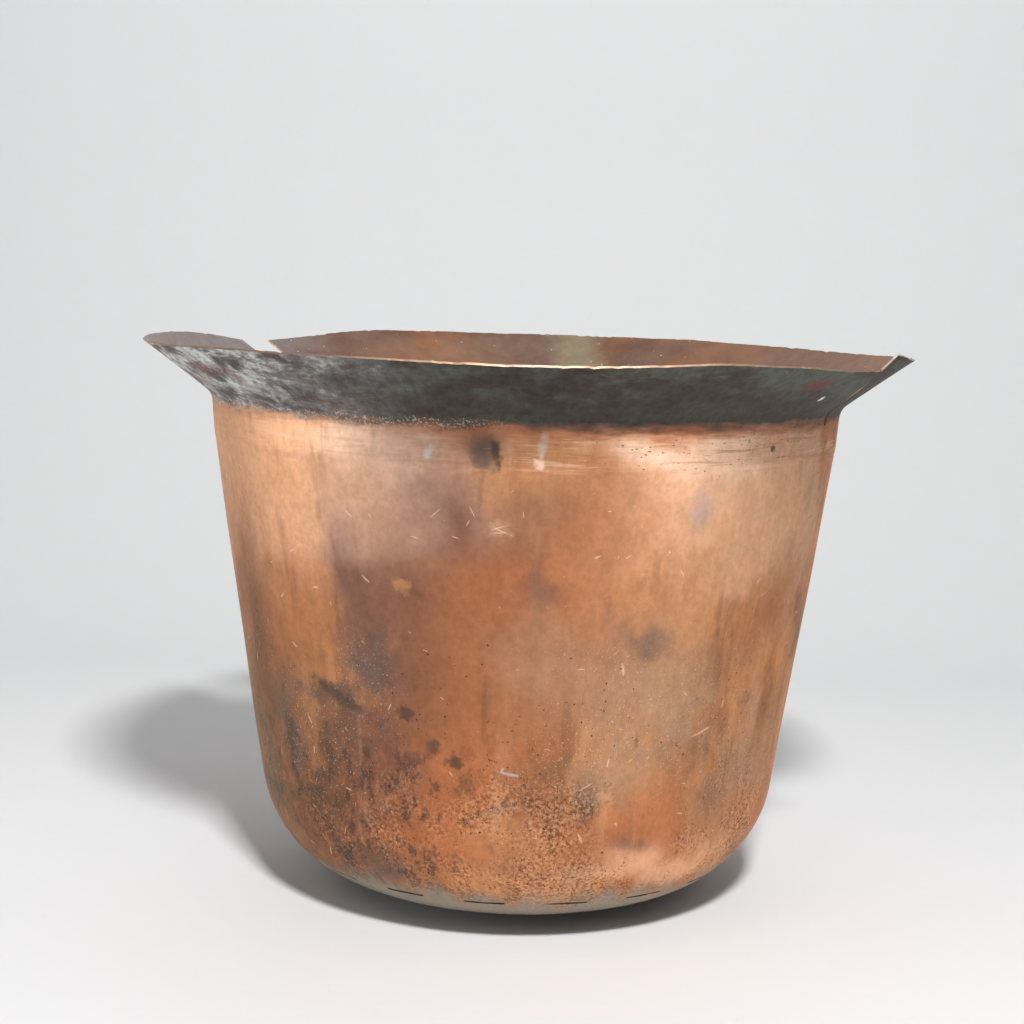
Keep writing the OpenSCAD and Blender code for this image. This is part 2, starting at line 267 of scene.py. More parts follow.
def roll_plate(plate, place, closed=False, open_foot=False):
    """Moves each corner of the plate to place(column, row, layer).

    closed joins its two ends to a ring. open_foot drops the thin faces of the first row too, for a
    ring whose first row shrinks to one point.
    """
    if closed:
        centres = face_centres(plate)
        last = read_points(plate)[:, 0].max()
        dropped = (centres[:, 0] < 0.01) | (centres[:, 0] > last - 0.01)
        if open_foot:
            dropped |= centres[:, 1] < 0.01
        delete_faces(plate, dropped & (plate_skins(centres) == CUT_EDGE))
    corners = np.rint(read_points(plate)).astype(int)
    write_points(plate, place(corners[:, 0], corners[:, 1], -corners[:, 2]))
    make_active(plate)
    bpy.ops.object.mode_set(mode="EDIT")
    bpy.ops.mesh.select_all(action="SELECT")
    if closed:
        bpy.ops.mesh.remove_doubles(threshold=1e-6)
    bpy.ops.mesh.normals_make_consistent(inside=False)
    bpy.ops.object.mode_set(mode="OBJECT")
    bpy.ops.object.shade_smooth_by_angle(angle=SHARP_ANGLE)


def finish_piece(piece, materials, slot_name, *nodes):
    for material in materials:
        piece.data.materials.append(material)
    paint_tones(piece)
    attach(piece, "root")
    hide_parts(*nodes)


# ---------------------------------------------------------------- shape of the tub

FINE_COLUMN = math.radians(0.8)  # width of a column round the tub
FINE_ROW = 0.0032  # height of a row up the wall
BRAZE_ROW = 0.006  # height of a row of the braze in a side seam
RING_COLUMN = math.radians(2.0)  # width of a column of the braze in the bottom seam
CORNER_STEP, DOME_STEP = 0.03, 0.01  # turn from row to row on the corner and on the dome
FOOT_ROWS = 8  # rows of corners on the flat in the middle of the bottom
THINNED_ROWS = 5  # rows over which the bottom thins out towards its laps
BEND_ROWS, SLOPE_ROWS = 7, 22
FLANGE_ROWS = BEND_ROWS + SLOPE_ROWS
TIP_ROW = 0.0012  # height of the first row, at the tips of the tabs
SIDE_SEAM_FOOT = 0.006  # from the laps of the bottom seam up to the side seams
SIDE_SEAM_END = 0.00135  # from the side seams up to the neck bend
CLEAR = 0.00004  # space between the braze and a sheet
FIRM_HEIGHT, FIRM_RADIUS = 0.012, 0.12  # the beating fades out towards the flat within these
RAMP = 0.00006  # width of the step from full to half thickness
BENT_WIDTH = 0.11  # width of flange that is bent beside a slit
CURL_WIDTH = 0.045  # width of the corner that curls
SHIFT_WIDTH = 0.30  # width over which the columns make room for a slit
RIGHT_DROOP, RIGHT_LIFT, RIGHT_CURL, LEFT_DROOP = (math.radians(a) for a in (2, 8, 24, 9))
WAVE_COUNT, WAVE_CREST, TILT_LOW = 6, math.radians(-62), math.radians(20)
RIGHT_FRONT_SHARE, LEFT_FRONT_SHARE = 0.75, 0.55
# Where the rim was knocked up or down: azimuth, half width and lift, in degrees.
FRONT_KNOCKS = ((-120, 14, -1.2), (-64, 9, 0.9), (-43, 6, -1.5), (-214, 6, -1.2))
REAR_KNOCKS = ((86, 12, 2.7), (133, 9, -3.2), (50, 9, -1.2), (4, 16, -0.9), (104, 9, 0.8))
NICK_START, NICK_DEPTH = 0.30, 0.004  # how strong the noise is where a nick starts, and its reach
# Where the wall bulges or is dented: azimuth in degrees, height, half size and swing, in metres.
WALL_KNOCKS = (
    (-178, 0.34, 0.10, 0.0022),
    (-178, 0.06, 0.05, -0.0026),
    (-110, 0.282, 0.008, -0.0007),
    (-94, 0.325, 0.009, -0.0006),
    (-47, 0.21, 0.05, -0.0012),
    (-135, 0.19, 0.04, -0.0010),
    (60, 0.25, 0.06, 0.0015),
    (100, 0.15, 0.04, -0.0014),
    (20, 0.30, 0.05, -0.0012),
)


def measures():
    scene = bpy.context.scene
    return scene.boiler_tub, scene.boiler_flange, scene.boiler_seams


def evenly(keys, step):
    """The keys in order, with even steps between them that are no longer than step."""
    keys = sorted(keys)
    values = [keys[0]]
    for low, high in zip(keys, keys[1:]):
        steps = max(1, math.ceil((high - low) / step - 1e-6))
        values += [low + (high - low) * i / steps for i in range(1, steps + 1)]
    return np.array(values)


def beside(places, *gaps):
    """Both sides of each place, at each gap from it."""
    return [place + side * gap for place in places for gap in gaps for side in (-1, 1)]


def middles(values):
    return (values[1:] + values[:-1]) / 2


def nearest(values, places):
    """How far each value lies from the nearest of the places."""
    return np.abs(values[..., None] - np.array(places)).min(axis=-1)


class Profile:
    """The outside skin of the tub, as radius, height and outward direction."""

    def __init__(self):
        self.tub, self.flange, self.seams = measures()
        tub, seams = self.tub, self.seams
        taper, lean = tub.wall_taper, tub.band_lean
        self.crease_top = tub.neck_height - tub.band_height
        self.crease_foot = self.crease_top - tub.crease_height
        self.crease_r = tub.neck_radius - tub.band_height * math.tan(lean) - tub.crease_in
        normal = np.array([math.cos(taper), -math.sin(taper)])
        down = np.array([-math.sin(taper), -math.cos(taper)])
        start = np.array([self.crease_r, self.crease_foot]) - tub.corner_radius * normal
        dome = np.array([tub.foot_radius, tub.dome_radius])
        away = start - dome
        along = away @ down
        reach = (tub.dome_radius - tub.corner_radius) ** 2
        run = -along + math.sqrt(along * along - away @ away + reach)
        self.corner = start + run * down
        to_corner = self.corner - dome
        self.dome_dip = math.atan2(-to_corner[1], to_corner[0])
        self.lap_dip = seams.seam_dip - seams.cramp_depth / tub.corner_radius
        self.seam_r = self.corner[0] + tub.corner_radius * math.cos(seams.seam_dip)
        self.pitch = 2 * math.pi / seams.cramp_count
        flange = self.flange
        turn = math.pi / 2 - lean - flange.rise + LEFT_DROOP + flange.wave + flange.tilt
        bend = (flange.bend_radius + tub.side_gauge) * math.tan(turn / 2)
        self.joint_z = tub.neck_height - bend * math.cos(lean)
        # The side seams: the heights of the cuts between their tabs.
        self.lap_z = self.dip_z(self.lap_dip)
        foot = self.lap_z + SIDE_SEAM_FOOT
        self.side_cell = (self.joint_z - SIDE_SEAM_END - foot) / seams.side_cramps
        self.side_levels = [foot + self.side_cell * k for k in range(seams.side_cramps + 1)]
        # The braze: half a fin, and where the film starts beside it.
        self.fin, self.fin_root = seams.film / 2 - CLEAR, seams.film / 2 + CLEAR / 2

    def tab_edges(self, low, high):
        """Azimuths of the cuts between the tabs of the bottom seam."""
        step = self.pitch / 2
        first = self.seams.cramp_place - step / 2
        numbers = range(math.ceil((low - first) / step), math.ceil((high - first) / step))
        return [first + k * step for k in numbers]

    def ring_columns(self, step, *gaps):
        """Azimuths right round the bottom seam, and those of the cuts in it."""
        start = self.seams.cramp_place
        edges = self.tab_edges(start, start + 2 * math.pi)
        return evenly([start, *beside(edges, *gaps), start + 2 * math.pi], step), edges

    def tab_turns(self, azimuth):
        """How many outer tabs each azimuth lies from the first, which is a whole number at each."""
        return (azimuth - self.seams.cramp_place) / self.pitch

    def laps_outside(self, azimuth):
        """True where the side sheet laps outside at the bottom seam."""
        turns = self.tab_turns(azimuth)
        return np.abs(turns - np.rint(turns)) < 0.25

    def lap_depth(self, outside, layer):
        """Depths of the skins of a sheet that is half as thick at its laps."""
        gauge, film = self.tub.side_gauge, self.seams.film
        outer_half = np.where(layer == 0, 0.0, gauge / 2 - film / 2)
        inner_half = np.where(layer == 0, gauge / 2 + film / 2, gauge)
        return np.where(outside, outer_half, inner_half)

    def braze_depth(self, in_gap, layer):
        """Depths of the skins of the braze: a film between laps, and a fin in a gap."""
        gauge, film = self.tub.side_gauge, self.seams.film
        thin = np.where(layer == 0, gauge / 2 - film / 2 + CLEAR, gauge / 2 + film / 2 - CLEAR)
        return np.where(in_gap, layer * gauge, thin)

    def dip_z(self, dip):
        return self.corner[1] - self.tub.corner_radius * math.sin(dip)

    def corner_point(self, dip):
        radius = self.tub.corner_radius
        out = np.stack([np.cos(dip), -np.sin(dip)])
        return np.concatenate([self.corner[:, None] + radius * out, out])

    def dome_point(self, dip):
        out = np.stack([np.cos(dip), -np.sin(dip)])
        centre = np.array([[self.tub.foot_radius], [self.tub.dome_radius]])
        return np.concatenate([centre + self.tub.dome_radius * out, out])

    def wall_point(self, z):
        """Radius, height and outward direction at heights z from the seam up to the neck bend."""
        tub = self.tub
        taper, lean = tub.wall_taper, tub.band_lean
        dip = np.arcsin(np.clip((self.corner[1] - z) / tub.corner_radius, -1, 1))
        dip = np.maximum(dip, taper)
        corner = self.corner_point(dip)
        wall_r = self.crease_r - (self.crease_foot - z) * math.tan(taper)
        part = np.clip((z - self.crease_foot) / (self.crease_top - self.crease_foot), 0, 1)
        band_r = tub.neck_radius - (tub.neck_height - z) * math.tan(lean)
        smooth = part * part * (3 - 2 * part)
        step_r = wall_r + (band_r - wall_r) * smooth
        in_corner = dip > taper + 1e-9
        radius = np.where(in_corner, corner[0], np.where(z < self.crease_foot, wall_r, step_r))
        angle = np.where(in_corner, dip, np.where(part > 0.5, lean, taper))
        return np.stack([radius, z, np.cos(angle), -np.sin(angle)])

    def rise_at(self, azimuth, front):
        flange, seams, radius = self.flange, self.seams, self.tub.neck_radius
        rise = (
            flange.rise
            + flange.wave * np.cos(WAVE_COUNT * (azimuth - WAVE_CREST))
            - flange.tilt * np.cos(azimuth - TILT_LOW)
        )

        def near(place):
            return np.maximum(0, 1 - np.abs(azimuth - place) * radius / BENT_WIDTH) ** 2

        left = seams.left_place - (2 * math.pi if front else 0)
        rise -= LEFT_DROOP * near(left)
        rise += (-RIGHT_DROOP if front else RIGHT_LIFT) * near(seams.right_place)
        for place, half, lift in FRONT_KNOCKS if front else REAR_KNOCKS:
            spread = (np.degrees(azimuth) - place) / half
            rise += math.radians(lift) * np.exp(-spread * spread)
        return rise

    def curl_at(self, azimuth, front):
        if front:
            return np.zeros_like(azimuth)
        away = np.abs(azimuth - self.seams.right_place) * self.tub.neck_radius / CURL_WIDTH
        return RIGHT_CURL * np.maximum(0, 1 - away) ** 2

    def flange_rows(self, azimuths, front):
        """Outside skin at each row of the bend and the slope, from the azimuths of each row."""
        lean, flange, tub = self.tub.band_lean, self.flange, self.tub
        band = math.pi / 2 - lean
        rows = []
        for row, azimuth in enumerate(azimuths):
            rise, curl = self.rise_at(azimuth, front), self.curl_at(azimuth, front)
            run = flange.bend_radius * np.tan((band - rise) / 2)
            start_r = tub.neck_radius - run * math.cos(band)
            start_z = tub.neck_height - run * math.sin(band)
            centre_r = start_r + flange.bend_radius * math.sin(band)
            centre_z = start_z - flange.bend_radius * math.cos(band)
            part = min(1.0, row / (BEND_ROWS - 1))
            angle = band + (rise - band) * part
            r = centre_r - flange.bend_radius * np.sin(angle)
            z = centre_z + flange.bend_radius * np.cos(angle)
            steps = max(0, row - BEND_ROWS + 1)
            edge = 1.0
            if row == FLANGE_ROWS - 1:
                edge = 1 + self.ragged(azimuth) / flange.width
            stride = (flange.width * edge - run) / SLOPE_ROWS
            for step in range(steps):
                turn = rise + curl * ((step + 0.5) / SLOPE_ROWS) ** 2
                r = r + stride * np.cos(turn)
                z = z + stride * np.sin(turn)
            angle = angle + curl * (steps / SLOPE_ROWS) ** 2
            rows.append(np.stack([r, z, np.sin(angle), -np.cos(angle)]))
        return rows

    def ragged(self, azimuth):
        """How far the cut rim stands out, with small nicks."""
        out = []
        for a in azimuth:
            spot = Vector((math.cos(a), math.sin(a), 0))
            slow = noise.noise(spot * 9)
            quick = noise.noise(spot * 60 + Vector((3, 1, 7)))
            nick = min(0.0, NICK_START - abs(noise.noise(spot * 33 + Vector((9, 4, 2)))))
            out.append(self.flange.ragged * (0.7 * slow + 0.5 * quick) + NICK_DEPTH * nick)
        return np.array(out)


def beaten(points, amount):
    """How far each point of the sheet swings outward: planishing, slow waves and knocks."""
    swing = np.empty(len(points))
    shift_a, shift_b = Vector((5, 2, 8)), Vector((1, 7, 3))
    for i, point in enumerate(points):
        spot = Vector(point)
        swing[i] = (
            1.2 * noise.noise(spot * 5)
            + 0.55 * noise.noise(spot * 17 + shift_a)
            + 0.16 * noise.noise(spot * 62 + shift_b)
        )
    swing *= amount
    azimuth = np.arctan2(points[:, 1], points[:, 0])
    radius = np.hypot(points[:, 0], points[:, 1])
    for place, height, half, depth in WALL_KNOCKS:
        turn = np.angle(np.exp(1j * (azimuth - math.radians(place))))
        away = (turn * radius / half) ** 2 + ((points[:, 2] - height) / half) ** 2
        swing += depth * np.exp(-away)
    return swing


def solid_place(skin, depth, azimuth):
    """Points at a depth under the outer skin, which is beaten as one sheet."""
    r, z, out_r, out_z = skin
    across, along = np.cos(azimuth), np.sin(azimuth)
    outer = np.stack([r * across, r * along, z], axis=1)
    # The flat that the tub stands on isn't beaten.
    firm = np.clip(z / FIRM_HEIGHT, 0, 1) * np.clip(r / FIRM_RADIUS, 0, 1)
    swing = beaten(outer, measures()[0].unevenness) * firm - depth
    r, z = r + out_r * swing, z + out_z * swing
    return np.stack([r * across, r * along, z], axis=1)


# ---------------------------------------------------------------- side sheets


class SideSheet:
    """A side sheet: its columns and rows while flat, and where they go when it is rolled."""

    def __init__(self, front):
        self.front = front
        self.shape = shape = Profile()
        seams, radius = shape.seams, shape.tub.neck_radius
        self.start = seams.left_place - 2 * math.pi if front else seams.right_place
        self.end = seams.right_place if front else seams.left_place
        self.half_lap = seams.lap_width / 2 / radius
        self.butt = seams.film / 2 / radius
        self.ramp = RAMP / radius
        self.tab_gap = seams.film / 2 / shape.seam_r

        lap_start, lap_end = self.start + self.half_lap, self.end - self.half_lap
        keys = [*beside([self.start, self.end], self.half_lap), self.start + self.butt]
        keys += [self.end - self.butt, lap_start + self.ramp, lap_end - self.ramp]
        edges = shape.tab_edges(self.start + 2 * self.half_lap, self.end - 2 * self.half_lap)
        self.azimuths = evenly([*keys, *beside(edges, self.tab_gap)], FINE_COLUMN)

        tip, lap = shape.dip_z(seams.seam_dip), shape.lap_z
        keys = [tip, tip + TIP_ROW, lap, lap + RAMP, *beside(shape.side_levels, seams.film / 2)]
        keys += [shape.crease_foot, shape.crease_top, shape.joint_z]
        self.heights = evenly(keys, FINE_ROW)
        # Rows over the joint are known only by number, so they take heights over the wall's.
        over = shape.joint_z + np.arange(1, FLANGE_ROWS + 1)
        self.row_z = np.concatenate([self.heights, over])

        wall_rows, flange_azimuths = len(self.heights), self.flange_azimuths()
        self.turned = np.repeat(self.azimuths[:, None], len(self.row_z), axis=1)
        self.turned[:, wall_rows:] = np.transpose(flange_azimuths)
        self.skins = np.empty((4, *self.turned.shape))
        self.skins[:, :, :wall_rows] = shape.wall_point(self.heights)[:, None, :]
        self.skins[:, :, wall_rows:] = np.stack(shape.flange_rows(flange_azimuths, front), axis=2)

    def flange_azimuths(self):
        """Azimuths of the columns at each row of the flange, which move apart beside the slits."""
        flange, radius = self.shape.flange, self.shape.tub.neck_radius
        slits = [
            (flange.left_root, flange.left_mouth, LEFT_FRONT_SHARE),
            (flange.right_root, flange.right_mouth, RIGHT_FRONT_SHARE),
        ]
        if not self.front:
            slits = [(root, mouth, 1 - share) for root, mouth, share in reversed(slits)]
        from_start, from_end = (
            np.clip(1 - away * radius / SHIFT_WIDTH, 0, 1) ** 2
            for away in (self.azimuths - self.start, self.end - self.azimuths)
        )
        rows = []
        for row in range(FLANGE_ROWS):
            grown = max(0, row - BEND_ROWS + 1) / SLOPE_ROWS
            opened = math.sqrt(min(1, (row + 1) / BEND_ROWS))
            out = math.cos(flange.rise) * flange.width * max(0, row - BEND_ROWS) / SLOPE_ROWS
            at_start, at_end = (
                share * (root * opened + (mouth - root) * grown) / (radius + out)
                for root, mouth, share in slits
            )
            rows.append(self.azimuths + at_start * from_start - at_end * from_end)
        return rows

    def cut_out(self):
        """The squares that are cut out of the flat plate: ends, and gaps between tabs."""
        shape, half_film = self.shape, self.shape.seams.film / 2
        across, up = middles(self.azimuths)[:, None], middles(self.row_z)[None, :]
        beyond = (across < self.start + self.butt - 1e-9) | (across > self.end - self.butt + 1e-9)
        in_lap = (across < self.start + self.half_lap) | (across > self.end - self.half_lap)
        lapped = (up > shape.side_levels[0]) & (up < shape.side_levels[-1])
        level_gap = nearest(up, shape.side_levels) < half_film - 1e-9
        near_edge = nearest(across, shape.tab_edges(self.start, self.end)) < self.tab_gap - 1e-9
        return (near_edge & (up < shape.lap_z)) | (beyond & ~lapped) | (in_lap & level_gap)

    def place(self, column, row, layer):
        shape, seams = self.shape, self.shape.seams
        azimuth, z = self.azimuths[column], self.row_z[row]
        foot, top = shape.side_levels[0], shape.side_levels[-1]
        lap_width = self.half_lap + self.ramp / 2
        in_lap = (azimuth < self.start + lap_width) | (azimuth > self.end - lap_width)
        tab = np.floor((z - foot) / shape.side_cell + 1e-6)
        lap_depth = shape.lap_depth((tab % 2 == 0) == self.front, layer)
        depth = np.where(in_lap & (z > foot) & (z < top), lap_depth, layer * shape.tub.side_gauge)
        outer_tab = shape.laps_outside(azimuth)
        depth = np.where(z < shape.lap_z + RAMP / 2, shape.lap_depth(outer_tab, layer), depth)
        # The end of each outer tab is drawn back from the seam by its own open mouth.
        openness = 0.25 + 0.75 * np.abs(np.sin(2.4 * np.rint(shape.tab_turns(azimuth)) + 0.6))
        wander = 0.75 + 0.25 * np.sin(azimuth * 61)
        back = seams.mouth * openness * wander / shape.tub.corner_radius
        drawn = shape.corner_point(seams.seam_dip - back)
        skin = np.where((row == 0) & outer_tab, drawn, self.skins[:, column, row])
        return solid_place(skin, depth, self.turned[column, row])


class BOILER_OT_side_sheets(bpy.types.Operator):
    """Cut, roll and flange the two side sheets"""

    bl_idname = "boiler.side_sheets"
    bl_label = "Side Sheets"

    def execute(self, context):
        materials = sheet_materials()
        for name, node, front in (
            ("front_sheet", "front_side_sheet", True),
            ("rear_sheet", "rear_side_sheet", False),
        ):
            sheet = SideSheet(front)
            piece = cut_plate(name, sheet.cut_out())
            roll_plate(piece, sheet.place)
            finish_piece(piece, materials, "side_copper", node)
        return {"FINISHED"}


# ---------------------------------------------------------------- bottom


class BOILER_OT_bottom(bpy.types.Operator):
    """Beat the dished bottom and cut its tabs"""

    bl_idname = "boiler.bottom"
    bl_label = "Dished Bottom"

    def execute(self, context):
        shape = Profile()
        tub, gap = shape.tub, shape.seams.film / 2 / shape.seam_r
        azimuths, edges = shape.ring_columns(FINE_COLUMN, gap)
        skin, first_lap = self.outer_skin(shape)
        in_gap = nearest(middles(azimuths), edges) < gap - 1e-9
        cut_out = in_gap[:, None] & (np.arange(skin.shape[1] - 1)[None, :] >= first_lap)
        piece = cut_plate("domed_bottom", cut_out)

        def place(column, row, layer):
            azimuth = azimuths[column]
            near = np.clip((row - first_lap + THINNED_ROWS) / THINNED_ROWS, 0, 1)
            gauge = tub.dish_gauge + (tub.side_gauge - tub.dish_gauge) * near * near
            lap_depth = shape.lap_depth(~shape.laps_outside(azimuth), layer)
            depth = np.where(row >= first_lap, lap_depth, layer * gauge)
            return solid_place(skin[:, row], depth, azimuth)

        roll_plate(piece, place, closed=True, open_foot=True)
        finish_piece(piece, sheet_materials(), "bottom_copper", "bottom_dish")
        return {"FINISHED"}

    def outer_skin(self, shape):
        """The skin from the middle of the flat to the tips of the laps, and the first lap's row."""
        tub, seams = shape.tub, shape.seams
        flat = np.linspace(0, tub.foot_radius, FOOT_ROWS)
        flat_skin = np.stack([flat, 0 * flat, 0 * flat, 0 * flat - 1])
        dome = shape.dome_point(-evenly([-math.pi / 2, -shape.dome_dip], DOME_STEP)[1:])
        full_to = seams.seam_dip + RAMP / tub.corner_radius
        corner = shape.corner_point(-evenly([-shape.dome_dip, -full_to], CORNER_STEP)[1:])
        laps = shape.corner_point(-evenly([-seams.seam_dip, -shape.lap_dip], CORNER_STEP))
        skin = np.concatenate([flat_skin, dome, corner, laps], axis=1)
        return skin, skin.shape[1] - laps.shape[1]


# ---------------------------------------------------------------- braze


class BOILER_OT_braze(bpy.types.Operator):
    """Run the brass into the seams"""

    bl_idname = "boiler.braze"
    bl_label = "Braze"

    def execute(self, context):
        shape = Profile()
        self.ring(shape)
        for name, node, seam in (
            ("right_seam_brass", "right_seam_braze", shape.seams.right_place),
            ("left_seam_brass", "left_seam_braze", shape.seams.left_place),
        ):
            self.side_strip(shape, name, node, seam)
        return {"FINISHED"}

    def ring(self, shape):
        """The bottom seam's brass: a film between the laps, and a fin between each two tabs."""
        fin, root = shape.fin / shape.seam_r, shape.fin_root / shape.seam_r
        azimuths, edges = shape.ring_columns(RING_COLUMN, root, fin)
        dips = -evenly([-shape.seams.seam_dip, -shape.lap_dip], CORNER_STEP)
        skin = shape.corner_point(dips)
        ring = cut_plate("bottom_seam_brass", np.zeros((len(azimuths) - 1, len(dips) - 1), bool))

        def place(column, row, layer):
            azimuth = azimuths[column]
            depth = shape.braze_depth(nearest(azimuth, edges) < fin + 1e-9, layer)
            return solid_place(skin[:, row], depth, azimuth)

        roll_plate(ring, place, closed=True)
        finish_piece(ring, [seam_brass()], "braze", "bottom_seam_braze")

    def side_strip(self, shape, name, node, seam):
        """A side seam's brass: a film between the laps, and a fin between each two tabs."""
        seams, radius, levels = shape.seams, shape.tub.neck_radius, shape.side_levels
        fin, butt = shape.fin, shape.fin / radius
        azimuths = evenly(beside([seam], seams.lap_width / 2 / radius, butt), FINE_COLUMN)
        roots = beside(levels, shape.fin_root)[1:-1]
        heights = evenly([shape.lap_z + seams.film, *beside(levels, fin), *roots], BRAZE_ROW)
        skin = shape.wall_point(heights)
        beside_stem = np.abs(middles(azimuths)[:, None] - seam) > butt
        strip = cut_plate(name, beside_stem & (middles(heights)[None, :] < levels[0] - fin))

        def place(column, row, layer):
            z = heights[row]
            in_gap = (nearest(z, levels) < fin + 1e-9) | (z < levels[0])
            return solid_place(skin[:, row], shape.braze_depth(in_gap, layer), azimuths[column])

        roll_plate(strip, place)
        finish_piece(strip, [seam_brass()], "braze", node)


# ---------------------------------------------------------------- shader helpers

FLOAT, VECTOR = "NodeSocketFloat", "NodeSocketVector"
ROLLED_RADIUS = 0.24  # radius of the plain cylinder that patterns are rolled round
FULL_TURN = 6.28
NO_TINT = (1.0, 1.0, 1.0, 1.0)
EDGE_TINT = (1.0, 0.82, 0.70, 1.0)  # tint of what the copper reflects at a low angle


def feed(tree, socket, value):
    """Links an output to the socket, or sets a value on it."""
    if isinstance(value, bpy.types.NodeSocket):
        tree.links.new(value, socket)
    else:
        socket.default_value = value


def put(tree, kind, inputs=None, **settings):
    """Adds a node. Its inputs are values, or the outputs that feed them."""
    node = tree.nodes.new(kind)
    for name, value in settings.items():
        setattr(node, name, value)
    for key, value in (inputs or {}).items():
        feed(tree, node.inputs[key], value)
    return node


def sums(tree, operation, *values):
    return put(tree, "ShaderNodeMath", dict(enumerate(values)), operation=operation).outputs[0]


def chained(tree, operation, first, *others):
    for other in others:
        first = sums(tree, operation, first, other)
    return first


def times(tree, *values):
    return chained(tree, "MULTIPLY", *values)


def highest(tree, *values):
    return chained(tree, "MAXIMUM", *values)


def scaled(tree, value, factor, offset):
    """The value times the factor, plus the offset."""
    return sums(tree, "MULTIPLY_ADD", value, factor, offset)


def vectors(tree, operation, *values):
    keys = (0, "Scale") if operation == "SCALE" else range(len(values))
    node = put(tree, "ShaderNodeVectorMath", dict(zip(keys, values)), operation=operation)
    return node.outputs["Value" if operation in ("LENGTH", "DOT_PRODUCT") else "Vector"]


def stretched(tree, place, up):
    return vectors(tree, "MULTIPLY", place, (1.0, 1.0, up))


def turned(tree, place, angle, axis):
    inputs = {"Vector": place, "Angle": angle}
    return put(tree, "ShaderNodeVectorRotate", inputs, rotation_type=axis).outputs[0]


def parts(tree, place):
    return tuple(put(tree, "ShaderNodeSeparateXYZ", {0: place}).outputs)


def cloud(tree, place, scale, detail=3.0, rough=0.55, twist=0.0):
    inputs = {"Vector": place, "Scale": scale, "Detail": detail, "Roughness": rough}
    inputs["Distortion"] = twist
    return put(tree, "ShaderNodeTexNoise", inputs).outputs["Fac"]


def bent(tree, place, scale, detail, reach):
    """The place, pushed about by noise."""
    warp = put(tree, "ShaderNodeTexNoise", {"Vector": place, "Scale": scale, "Detail": detail})
    return vectors(tree, "MULTIPLY_ADD", warp.outputs["Color"], reach, place)


def step_up(tree, value, low, high, to_low=0.0, to_high=1.0):
    """A smooth step of value, from to_low at low to to_high at high."""
    inputs = {"Value": value, "From Min": low, "From Max": high}
    inputs.update({"To Min": to_low, "To Max": to_high})
    return put(tree, "ShaderNodeMapRange", inputs, interpolation_type="SMOOTHSTEP").outputs[0]


def step_from(tree, value, start, width, top=1.0, kind="LINEAR"):
    """A step of value from 0 to top, whose start is an output too."""
    full = sums(tree, "ADD", start, width)
    inputs = {"Value": value, "From Min": start, "From Max": full, "To Max": top}
    return put(tree, "ShaderNodeMapRange", inputs, interpolation_type=kind).outputs[0]


def opaque(value):
    return value if isinstance(value, bpy.types.NodeSocket) else (*value, 1.0)


def blend(tree, mask, under, over):
    inputs = {0: mask, 6: opaque(under), 7: opaque(over)}
    return put(tree, "ShaderNodeMix", inputs, data_type="RGBA").outputs[2]


def stain(tree, base, paint, *masks):
    """Lays a colour over the base by the product of the masks and strengths."""
    return blend(tree, times(tree, *masks), base, paint)


def stains(tree, base, pattern, mask, *tones):
    """Lays each tone (colour, start, full, strength) where the pattern goes from start to full."""
    for paint, start, full, strength in tones:
        base = stain(tree, base, paint, step_up(tree, pattern, start, full, 0.0, strength), mask)
    return base


def lerp(tree, mask, under, over):
    return put(tree, "ShaderNodeMix", {0: mask, 2: under, 3: over}, data_type="FLOAT").outputs[0]


def made_once(store, name):
    """For a function that makes a material or a node group: its first result is used again."""

    def wrap(make):
        return lambda: getattr(bpy.data, store).get(name) or make(name)

    return wrap


def new_group(name, takes):
    """An empty node group that puts out a mask; takes lists (socket name, kind, default)."""
    tree = bpy.data.node_groups.new(name, "ShaderNodeTree")
    for socket_name, kind, default in takes:
        socket = tree.interface.new_socket(socket_name, in_out="INPUT", socket_type=kind)
        if default is not None:
            socket.default_value = default
    tree.interface.new_socket("Mask", in_out="OUTPUT", socket_type=FLOAT)
    return tree, tree.nodes.new("NodeGroupInput").outputs


def close_group(tree, mask):
    tree.links.new(mask, tree.nodes.new("NodeGroupOutput").inputs["Mask"])
    return tree


def masked(tree, group, **inputs):
    """The mask that a node group puts out."""
    node = put(tree, "ShaderNodeGroup", node_tree=group)
    for name, value in inputs.items():
        feed(tree, node.inputs[name], value)
    return node.outputs["Mask"]


def unrolled(tree, surface):
    """The surface laid flat: along the tub in x and up it in y."""
    x, y, z = parts(tree, surface)
    along = sums(tree, "MULTIPLY", sums(tree, "ARCTAN2", y, x), ROLLED_RADIUS)
    return put(tree, "ShaderNodeCombineXYZ", {0: along, 1: z}).outputs[0]


@made_once("node_groups", "Mark on the tub")
def mark_group(name):
    """A soft-edged mark at a place on the tub. Spread gives its depth, width and height."""
    takes = [
        ("Surface", VECTOR, None),
        ("Place", VECTOR, None),
        ("Azimuth", FLOAT, 0.0),
        ("Turn", FLOAT, 0.0),
        ("Spread", VECTOR, None),
        ("Fray", VECTOR, None),
        ("Softness", FLOAT, 0.5),
    ]
    tree, takes = new_group(name, takes)
    away = vectors(tree, "SUBTRACT", takes["Surface"], takes["Place"])
    local = turned(tree, away, sums(tree, "MULTIPLY", takes["Azimuth"], -1.0), "Z_AXIS")
    upright = turned(tree, local, takes["Turn"], "X_AXIS")
    frayed = vectors(tree, "ADD", vectors(tree, "DIVIDE", upright, takes["Spread"]), takes["Fray"])
    inner = sums(tree, "SUBTRACT", 1.0, takes["Softness"])
    outer = sums(tree, "ADD", 1.0, takes["Softness"])
    return close_group(tree, step_up(tree, vectors(tree, "LENGTH", frayed), outer, inner))


